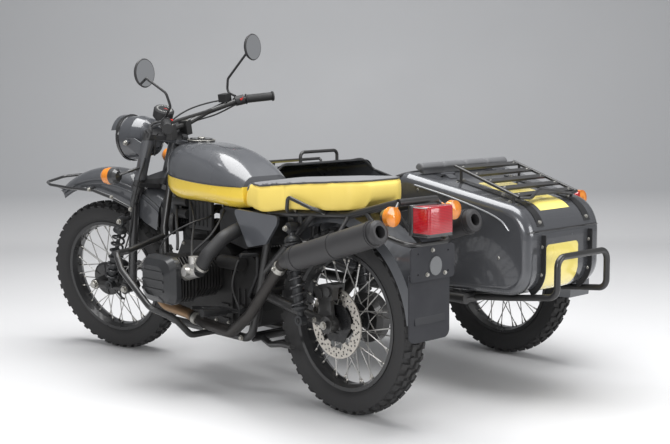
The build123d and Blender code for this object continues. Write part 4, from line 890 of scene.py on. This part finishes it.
bmesh.ops.recalc_face_normals(pad, faces=pad.faces)
piece("bracket_pad", pad, "chassis", Finish("bracket_pad", (0.16, 0.165, 0.17), 0.5).uneven(0.42, 0.56, 30.0))
bracket_bolts = bmesh.new()
for y, z in ((0.004, 0.64), (0.03, 0.56), (-0.056, 0.558)):
    bolt(bracket_bolts, at(-0.408, y, z), (-1, 0, 0), 0.01, 0.005)
piece("bracket_bolts", bracket_bolts, "chassis", zinc)
base_black = (0.02, 0.02, 0.021)
red_lens = Finish("red_lens", (0.42, 0.008, 0.012), 0.12, coat=1.0)
x, _, z = red_lens.spot()
lens_part = ((x < -0.372) * (z > 0.6985)) > 0.5
flutes = red_lens.flutes("Z", 62.0)
# The flutes are painted as darker and lighter red bands, a painted shading of the fluted lens; they also bump it.
red_lens.feed("Base Color", red_lens.mix(lens_part, base_black,
                                         red_lens.mix(flutes, (0.3, 0.003, 0.01), (0.5, 0.012, 0.022))))
red_lens.feed("Roughness", 0.45 - lens_part * 0.33 + red_lens.noise(30.0) * 0.05)
red_lens.bump(flutes, 0.35, 0.001)
lamp = bmesh.new()
block(lamp, at(-0.446, -0.059, 0.69), at(-0.352, 0.059, 0.787), 0.01)
for vert in lamp.verts:
    if vert.co.z > 0.74:
        vert.co.z += 0.004 * fade(at(-0.385, 0, 0).x - vert.co.x, -0.02, 0.02)
block(lamp, at(-0.372, -0.0625, 0.6865), at(-0.35, 0.0625, 0.7905), 0.006)
block(lamp, at(-0.44, -0.0615, 0.6865), at(-0.372, 0.0615, 0.698), 0.003)
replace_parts(piece("tail_lamp_lens", lamp, "chassis", red_lens), "tail_lamp")
lamp_trim = bmesh.new()
for side in (1, -1):
    swept(lamp_trim, [at(x, side * 0.0595, 0.785) for x in (-0.374, -0.4, -0.436)], 0.0026)
swept(lamp_trim, [at(-0.4405, y, 0.788) for y in (-0.056, -0.02, 0.02, 0.056)], 0.0018)
piece("tail_lamp_trim", lamp_trim, "chassis",
      Finish("bright_plate", (0.75, 0.75, 0.74), 0.16, metallic=1.0).uneven(0.12, 0.26, 30.0))


def lamp_finish(name, start, direction, edge):
    """Black cup behind, amber lens beyond a distance along the lamp."""
    lens = (0.85, 0.27, 0.02)
    made = Finish(name, lens, 0.15, coat=1.0)
    reach = made.place(start).along(direction)
    part = reach > edge
    rings = (reach * 900.0).waves()
    # The moulded rings are painted as darker and lighter amber, a painted shading of the lens; they also bump it.
    made.feed("Base Color", made.mix(part, base_black, made.mix(rings, tuple(c * 0.72 for c in lens), lens)))
    made.feed("Roughness", 0.46 - part * 0.32 + made.noise(30.0) * 0.05)
    made.bump(rings, 0.2, 0.0006)
    return made


coat_node(lamp_finish("amber_lens_rear", at(-0.358, 0, 0.759), (-1, 0, 0), -0.01), "rear_indicators")

# ---- Front end
# A leading-link fork: bent black legs in two yokes, with bolts at the yokes, the guard's stays and the rail.
fork_paint = Finish("fork_paint", (0.018, 0.018, 0.019), 0.32, coat=0.6).uneven(0.24, 0.38)
height = fork_paint.spot()[2]
fork_paint.mottled(fork_paint.noise(9.0, 4.0, 0.6), ((0.014, 0.014, 0.015), (0.026, 0.026, 0.027)), None,
                   (height > 0.79) * (height < 0.958), ((0.06, 0.062, 0.068), (0.082, 0.085, 0.093)))
coat_node(fork_paint, "fork", "fender_rail")
front_bolts = bmesh.new()
for across, *heads in ((0.012, (1.356, 0.112, 0.731), (1.48, 0.112, 0.761)), (0.014, (1.256, 0.115, 0.681)),
                       (0.01, (1.685, 0.044, 0.7405))):
    side_bolts(front_bolts, heads, across, 0.006)
side_bolts(front_bolts, [(1.228, 0.114, 0.968)], 0.014, 0.008)
side_bolts(front_bolts, [(1.15, 0.101, 0.925), (1.164, 0.101, 0.894)], 0.01, 0.005)
for y in (0.05, -0.05):
    for x in (1.02, 1.044):
        bolt(front_bolts, at(x, y, 1.03), (0, 0, 1), 0.01, 0.008)
piece("front_end_bolts", front_bolts, "steering", zinc, steered)

# ---- Headlamp and gauge
# A slate shell with a dark rim and a clear fluted lens; the gauge is a black cup on the top yoke.
lamp_middle, lamp_axis = at(1.23, 0, 0.968), Vector((1, 0, -0.04))
headlamp_paint = Finish("headlamp_shell", (0.085, 0.09, 0.1), 0.28, metallic=0.3, coat=1.0)
reach = headlamp_paint.place(steered @ lamp_middle).along((steered.to_3x3() @ lamp_axis).normalized())
rim_part = (reach > 0.051) * (reach < 0.0668)
haze = headlamp_paint.noise(6.0, 3.0)
rim_black = (0.022, 0.022, 0.023)
headlamp_paint.mottled(haze, ((0.06, 0.063, 0.07), (0.085, 0.089, 0.098)), None, rim_part, (rim_black, rim_black))
headlamp_paint.feed("Metallic", 0.3 - rim_part * 0.2)
headlamp_paint.feed("Roughness", 0.24 - rim_part * 0.1 + haze * 0.08)
coat_node(headlamp_paint, "headlamp")
lens = bmesh.new()
turned(lens, [(0.089, 0.0725), (0.08, 0.0775), (0.055, 0.0815), (0.028, 0.0835), (0, 0.084)], 48,
       steered @ standing(lamp_middle, lamp_axis))
glass = Finish("lamp_glass", (0.7, 0.73, 0.75), 0.08, metallic=0.4, coat=1.0)
flutes = glass.flutes("Y", 60.0)
# The flutes are painted as darker and lighter bands in the glass, a painted shading of the fluted lens; they also
# bump it.
glass.feed("Base Color", glass.mix(flutes, (0.55, 0.58, 0.6), (0.8, 0.82, 0.84)))
glass.bump(flutes, 0.4, 0.001)
piece("headlamp_lens", lens, "steering", glass)
dial_place = steered @ facing(at(1.112, 0, 1.04), (-0.42, 0, 0.91))
dial_centre = Vector((0, 0, 0.0555))
dial = bmesh.new()
disc(dial, 0.0365, dial_place @ Matrix.Translation(dial_centre))
dial_face = Finish("gauge_dial", (0.02, 0.02, 0.021), 0.25, coat=1.0)
from_centre = dial_face.place(dial_place @ dial_centre)
turn_axes = dial_place.to_3x3()
sidewise = from_centre.along((turn_axes @ Vector((1, 0, 0))).normalized())
upwise = from_centre.along((turn_axes @ Vector((0, 1, 0))).normalized())
length = (sidewise * sidewise + upwise * upwise).maths("SQRT")
marks = ((upwise.maths("ARCTAN2", sidewise) * 28.0).maths("SINE") > 0.7) * (length > 0.026) * (length < 0.033)
dial_face.feed("Base Color", dial_face.mix(marks, (0.015, 0.015, 0.016), (0.75, 0.75, 0.72)))
piece("gauge_dial", dial, "steering", dial_face)
needle = bmesh.new()
cone(needle, 4, 0.0012, 0.0004, 0.028, dial_place @ Matrix.Translation((0.006, -0.01, 0.0567))
     @ Matrix.Rotation(radians(90), 4, "X") @ Matrix.Rotation(0.5, 4, "Y"))
piece("gauge_needle", needle, "steering", Finish("gauge_needle", (0.6, 0.03, 0.02), 0.4).uneven(0.35, 0.5, 60.0))

# ---- Handlebar controls
# Ribbed rubber grips, red switches on the moulded housings, and the glass of the two mirrors.
grips = bmesh.new()
ribs, first_rib = 22, 0.006
for side in (1, -1):
    inner, outer = at(0.862, side * 0.266, 1.0793), at(0.783, side * 0.356, 1.0745)
    length = (outer - inner).length
    profile = [(0.0, -0.001), (0.0215, 0.0), (0.0225, 0.004)]
    for i in range(ribs):
        start = first_rib + (length - 2 * first_rib) * i / ribs
        profile += [(0.0172, start), (0.018, start + 0.0012), (0.018, start + 0.0028), (0.0172, start + 0.004)]
    profile += [(0.0215, length - 0.003), (0.02, length + 0.003), (0.0, length + 0.004)]
    turned(grips, profile, 20, standing(inner, outer - inner))
grip_rubber = Finish("grip_rubber", (0.018, 0.018, 0.019), 0.62).uneven(0.55, 0.72, 60.0)
piece("handlebar_grips", grips, "steering", grip_rubber, steered)
switches = bmesh.new()
for side in (1, -1):
    for along, height, size in ((0.0, 0.0084, 0.012), (-0.014, 0.0064, 0.008)):
        cone(switches, 16, size * 0.6, size * 0.5, 0.006,
             facing(at(0.86, side * (0.2465 + along), 1.078 + height), (-1, 0, 0.3)))
switch_red = Finish("switch_red", (0.55, 0.02, 0.015), 0.4).uneven(0.35, 0.5, 60.0)
piece("bar_switches", switches, "steering", switch_red, steered)
glasses = bmesh.new()
for place in (at(0.8877, 0.315, 1.284), at(0.7897, -0.27, 1.297)):
    disc(glasses, 0.0515, facing(place, (-1, 0, 0)))
mirror_glass = Finish("mirror_glass", (0.8, 0.81, 0.82), 0.03, metallic=1.0)
mirror_glass.feed("Roughness", mirror_glass.noise(12.0) * 0.03 + 0.02)
piece("mirror_glasses", glasses, "steering", mirror_glass, steered)
ahead = (steered.to_3x3() @ Vector((1, 0, 0))).normalized()
coat_node(lamp_finish("amber_lens_front", steered @ at(1.212, 0, 0.846), ahead, 0.035), "front_indicators")

# ---- Controls' cables
# Black-sheathed cables from the levers and switches, tied along the bar and let down past the headlamp.
cables = bmesh.new()
for route in (
        ((0.905, 0.246, 1.072), (0.975, 0.215, 1.055), (1.06, 0.13, 1.03), (1.115, 0.07, 0.985),
         (1.13, 0.06, 0.93)),
        ((0.892, 0.238, 1.062), (0.96, 0.18, 1.028), (1.05, 0.11, 1.004), (1.1, 0.075, 0.955),
         (1.118, 0.07, 0.905)),
        ((0.905, -0.246, 1.072), (0.985, -0.225, 1.08), (1.085, -0.15, 1.058), (1.14, -0.075, 1.01),
         (1.15, -0.062, 0.94)),
        ((0.892, -0.232, 1.062), (0.965, -0.18, 1.03), (1.055, -0.11, 1.006), (1.104, -0.08, 0.955),
         (1.12, -0.075, 0.905)),
        ((0.94, -0.218, 1.076), (1.01, -0.19, 1.045), (1.09, -0.135, 0.99), (1.15, -0.11, 0.9),
         (1.2, -0.128, 0.8), (1.262, -0.128, 0.66)),
        ((1.13, 0.118, 0.9), (1.18, 0.128, 0.8), (1.225, 0.128, 0.7), (1.262, 0.124, 0.6),
         (1.33, 0.122, 0.48), (1.392, 0.11, 0.4), (1.402, 0.102, 0.262))):
    swept(cables, eased([at(*place) for place in route]), 0.0034)
cable_sheath = Finish("cable_sheath", (0.018, 0.018, 0.019), 0.5).uneven(0.42, 0.58, 60.0)
piece("control_cables", cables, "steering", cable_sheath, steered)

# ---- Sidecar body
# Slate metallic under clear coat, with a yellow stripe over the trunk lid, one down the back and one on the nose.
tub_paint = Finish("sidecar_paint", (0.065, 0.067, 0.072), 0.26, metallic=0.35, coat=1.0)
x, y, z = tub_paint.spot()
ahead_facing, _, up_facing = tub_paint.faces()


def rounded_panel(across, up, low, high, corner):
    """One inside a rectangle with rounded corners, nought outside."""
    reach = []
    for value, start, end in ((across, low[0], high[0]), (up, low[1], high[1])):
        away = (value - (start + end) / 2).maths("ABSOLUTE")
        reach.append((away - ((end - start) / 2 - corner)).maths("MAXIMUM", 0.0))
    return (reach[0] * reach[0] + reach[1] * reach[1]).maths("SQRT") < corner


lid_faces, back_faces = (up_facing - ahead_facing) > 0.2, (ahead_facing + up_facing) < -0.3
lid_stripe = rounded_panel(y, x, (-0.768, -0.42), (-0.595, -0.086), 0.008) * (z > 0.7215) * lid_faces
back_stripe = rounded_panel(y, z, (-0.768, 0.3), (-0.576, 0.6), 0.018) * (x < -0.33) * back_faces
nose_stripe = rounded_panel(y, x, (-0.768, 1.04), (-0.595, 1.47), 0.008) * (up_facing > 0.3)
stripes = lid_stripe + back_stripe + nose_stripe
sheen = tub_paint.noise(3.0, 4.0, 0.55)
slate = tub_paint.mix(sheen, (0.062, 0.064, 0.07), (0.084, 0.087, 0.095))
flaked = tub_paint.mix(tub_paint.noise(1500.0, 1.0), slate, (0.098, 0.101, 0.11))
tub_paint.feed("Base Color", tub_paint.mix(stripes, flaked, (0.96, 0.8, 0.22)))
tub_paint.feed("Metallic", 0.35 - stripes * 0.35)
tub_paint.feed("Roughness", sheen.ranged(0.2, 0.3))
coat_node(tub_paint, "sidecar_tub", "trunk_lid")

# ---- Body strips
# Two black steel straps run over the tail, one each side of the stripe, bolted at intervals; the lid carries
# its own length of each, parted at the hinge and at the seam.
body_skin = ["sidecar_tub", "trunk_lid"]
strap_line = [(0.098, 0.842), (0.062, 0.84), (0.02, 0.832), (-0.022, 0.818), (-0.086, 0.8), (-0.19, 0.775),
              (-0.27, 0.755), (-0.318, 0.738), (-0.36, 0.705), (-0.392, 0.664), (-0.412, 0.622), (-0.424, 0.58),
              (-0.431, 0.53), (-0.428, 0.5), (-0.418, 0.47), (-0.396, 0.44), (-0.37, 0.424)]
steps_a_length = 5


def on_body(x, y, z, lift=0.0015):
    """The place on the tail's outside that lies beyond a point, seen from the middle of the trunk."""
    near = at(-0.2, y, 0.56)
    away = (at(x, y, z) - near).normalized()
    return touches(body_skin, [(near + away * 0.8, -away)], lift)[0]


def side_rays(places, side):
    """Lines toward the tub's middle plane from one side of it."""
    return [(at(x, tub_middle + side * 0.6, z), (0, -side, 0)) for x, z in places]


def down_rays(places):
    """Lines straight down on the tub, at distances ahead of the rear axle and beside the tub's middle."""
    return [(at(x, tub_middle + y, 1.2), (0, 0, -1)) for x, y in places]


straps = {"chassis": bmesh.new(), "lid": bmesh.new()}
strap_bolts = {"chassis": bmesh.new(), "lid": bmesh.new()}
for y in (-0.55, -0.83):
    lengths = {"top": [], "lid": [], "back": []}
    for start, end in zip(strap_line, strap_line[1:]):
        for step in range(steps_a_length):
            x, z = [a + (b - a) * step / steps_a_length for a, b in zip(start, end)]
            key = "top" if x > 0.066 else "lid" if x < -0.022 and z > 0.652 else "back" if z < 0.637 else None
            if key:
                lengths[key].append(on_body(x, y, z))
    for key, route in lengths.items():
        swept(straps["lid" if key == "lid" else "chassis"], route, 0.0255, 4, flat=0.1, turn=radians(45))
for y, places in ((-0.55, ((-0.06, 0.8), (-0.245, 0.76), (-0.404, 0.676), (-0.423, 0.594), (-0.43, 0.492))),
                  (-0.83, ((-0.06, 0.8), (-0.322, 0.735), (-0.403, 0.674), (-0.418, 0.596), (-0.42, 0.492)))):
    for x, z in places:
        where = on_body(x, y, z, 0.0035)
        outward = (where - on_body(x, y, z)).normalized()
        bolt(strap_bolts["lid" if z > 0.65 else "chassis"], where, outward, 0.0095, 0.004)
seal_and_seam_shade, beads = bmesh.new(), bmesh.new()
# A black strip along the lid's lower seam: a rubber seal, and painted shade that darkens the gap.
swept(seal_and_seam_shade, [on_body(-0.41, y / 1000, 0.6455, -0.0005) for y in range(-900, -479, 20)], 0.0034)
# Raised beads along the tail's upper side edges; their light grey is a painted highlight on the rounded edge.
for side in (1, -1):
    swept(beads, eased(touches(body_skin, side_rays(((0.06, 0.8), (0.041, 0.797), (-0.098, 0.765), (-0.245, 0.722),
                                                     (-0.318, 0.69), (-0.352, 0.655)), side), 0.001), 6), 0.0036)
strap_black = Finish("strap_black", (0.016, 0.016, 0.017), 0.34, coat=0.4).uneven(0.26, 0.42, 20.0)
for body in straps:
    piece(body + "_straps", straps[body], body, strap_black)
    piece(body + "_strap_bolts", strap_bolts[body], body, zinc)
piece("lid_seal_and_seam_shade", seal_and_seam_shade, "chassis", strap_black)
piece("body_beads", beads, "chassis", Finish("bead_painted_highlight", (0.34, 0.345, 0.36), 0.26, metallic=0.5, coat=0.8))

# ---- Cockpit
# Rubber edging round the opening, a grey padded roll behind the head and a padded bench in the same vinyl.
tub = ["sidecar_tub"]
side_edge = [(0.134, 0.835), (0.17, 0.816), (0.23, 0.78), (0.275, 0.756), (0.32, 0.7505), (0.45, 0.7475),
             (0.6, 0.744), (0.69, 0.742), (0.74, 0.748), (0.8, 0.762), (0.86, 0.776), (0.893, 0.785)]
side_edges = [[where + Vector((0, -side * 0.001, 0.004)) for where in
               touches(tub, side_rays([(x, z - 0.004) for x, z in side_edge], side))] for side in (1, -1)]
loop = (touches(tub, down_rays([(0.124, y) for y in (-0.2, -0.1, 0.0, 0.1, 0.2)])) + side_edges[0]
        + touches(tub, down_rays([(0.906, y) for y in (0.24, 0.16, 0.08, 0.0, -0.08, -0.16, -0.24)]))
        + side_edges[1][::-1])
edging = bmesh.new()
swept(edging, eased(loop, 5, True), 0.0062, closed=True)
edging_rubber = Finish("edging_rubber", (0.018, 0.018, 0.019), 0.5).uneven(0.42, 0.6, 50.0)
piece("cockpit_edging", edging, "chassis", edging_rubber)
grey_vinyl = Finish("sidecar_vinyl", (0.12, 0.122, 0.127), 0.5)
grey_vinyl.mottled(grey_vinyl.noise(6.0, 4.0, 0.55), ((0.1, 0.102, 0.107), (0.15, 0.152, 0.158)), (0.42, 0.56))
grey_vinyl.pebbled()


def roll_shape(place, normal):
    """Three seams round the roll, and a flatter top."""
    across = place.y - tub_middle
    push = -0.002
    if normal.z > -0.2:
        push += groove(abs(across) - 0.128, 0.006, 0.003) + groove(across, 0.006, 0.003)
    return normal * push - Vector((0, 0, 0.01 * fade(place.z, 0.85, 0.885)))


def bench_shape(place, normal):
    """Four seams along the cushion and up the back, with one across the back."""
    across = place.y - tub_middle
    cushion = normal.z > 0.4 and place.z < 0.65
    push = 0.0
    if cushion or normal.x > 0.4:
        depth = 0.008 if cushion else 0.006
        push += sum(groove(across - line, 0.007, depth) for line in (-0.165, -0.055, 0.055, 0.165))
        push += (0.008 * cos(min(abs(across) / 0.25, 1) * pi / 2) if cushion
                 else groove(place.z - 0.7, 0.007, 0.005))
    return normal * push


foam("padded_roll", "backrest_roll", 0.0045, "chassis", grey_vinyl, roll_shape, 4)
foam("sidecar_bench", "sidecar_seat", 0.01, "chassis", grey_vinyl, bench_shape, 8)
flanges = bmesh.new()
for ray in down_rays([(0.94, -0.11), (0.94, 0.11)]):
    where, normal, _ = touch(tub, *ray)
    band(flanges, where + normal * 0.004, normal, 0.0105, 0.008, 0.005)
piece("bar_flanges", flanges, "chassis", black_fasteners)


def dome(mesh, place, radius, steps, rings):
    """A low round rivet head."""
    bmesh.ops.create_uvsphere(mesh, u_segments=steps, v_segments=rings, radius=radius,
                              matrix=place @ Matrix.Diagonal((1, 1, 0.5, 1)))


rivets = bmesh.new()
for side in (1, -1):
    for ray in side_rays([(0.045, 0.786), (-0.31, 0.552), (0.62, 0.69), (1.18, 0.7)], side):
        where, normal, _ = touch(tub, *ray)
        dome(rivets, facing(where, normal), 0.0055, 14, 8)
piece("body_rivets", rivets, "chassis", zinc)

# ---- Racks and sidecar lamp
# Bolts under the rack's feet, a screw through each end of each slat, and a round turn lamp on the shoulder.
rack_fixings = bmesh.new()
for ray in down_rays([(x, y) for x in (-0.07, -0.326) for y in (-0.173, 0.173)]):
    where, normal, _ = touch(["trunk_lid"], *ray)
    bolt(rack_fixings, where + Vector((0.02, 0, 0)) + normal * 0.001, normal, 0.009, 0.004)
for x in (-0.06, -0.128, -0.196, -0.264, -0.33):
    for y in (-0.15, 0.15):
        place = at(x, tub_middle + y, 0.7764 + 0.32 * (x + 0.35))
        dome(rack_fixings, Matrix.Translation(place), 0.0048, 12, 6)
piece("rack_fixings", rack_fixings, "lid", zinc)
side_lens = Finish("sidecar_lens", (0.85, 0.27, 0.02), 0.15, coat=1.0)
x, y, _ = side_lens.spot()
cup = x > -0.268
rings = (side_lens.parts(side_lens.place())[0] * 1100.0).waves()
# The lens's rings are painted as darker and lighter amber, a painted shading of the moulded rings.
amber = side_lens.mix(rings, (0.62, 0.17, 0.012), (0.88, 0.3, 0.03))
side_lens.feed("Base Color", side_lens.mix(cup, side_lens.mix(y < -0.948, (0.45, 0.012, 0.012), amber), base_black))
side_lens.feed("Roughness", cup * 0.3 + side_lens.noise(30.0) * 0.05 + 0.1)
coat_node(side_lens, "sidecar_lamps")

# ---- Sidecar wheel guard
# The bolts through the guard's side, where its stays meet it.
guard_bolts = bmesh.new()
for x in (-0.058, 0.558):
    where, normal, _ = touch(["sidecar_fender"], at(x, -0.95, 0.545), (0, -1, 0))
    bolt(guard_bolts, where, normal, 0.011, 0.005)
piece("guard_bolts", guard_bolts, "chassis", zinc)
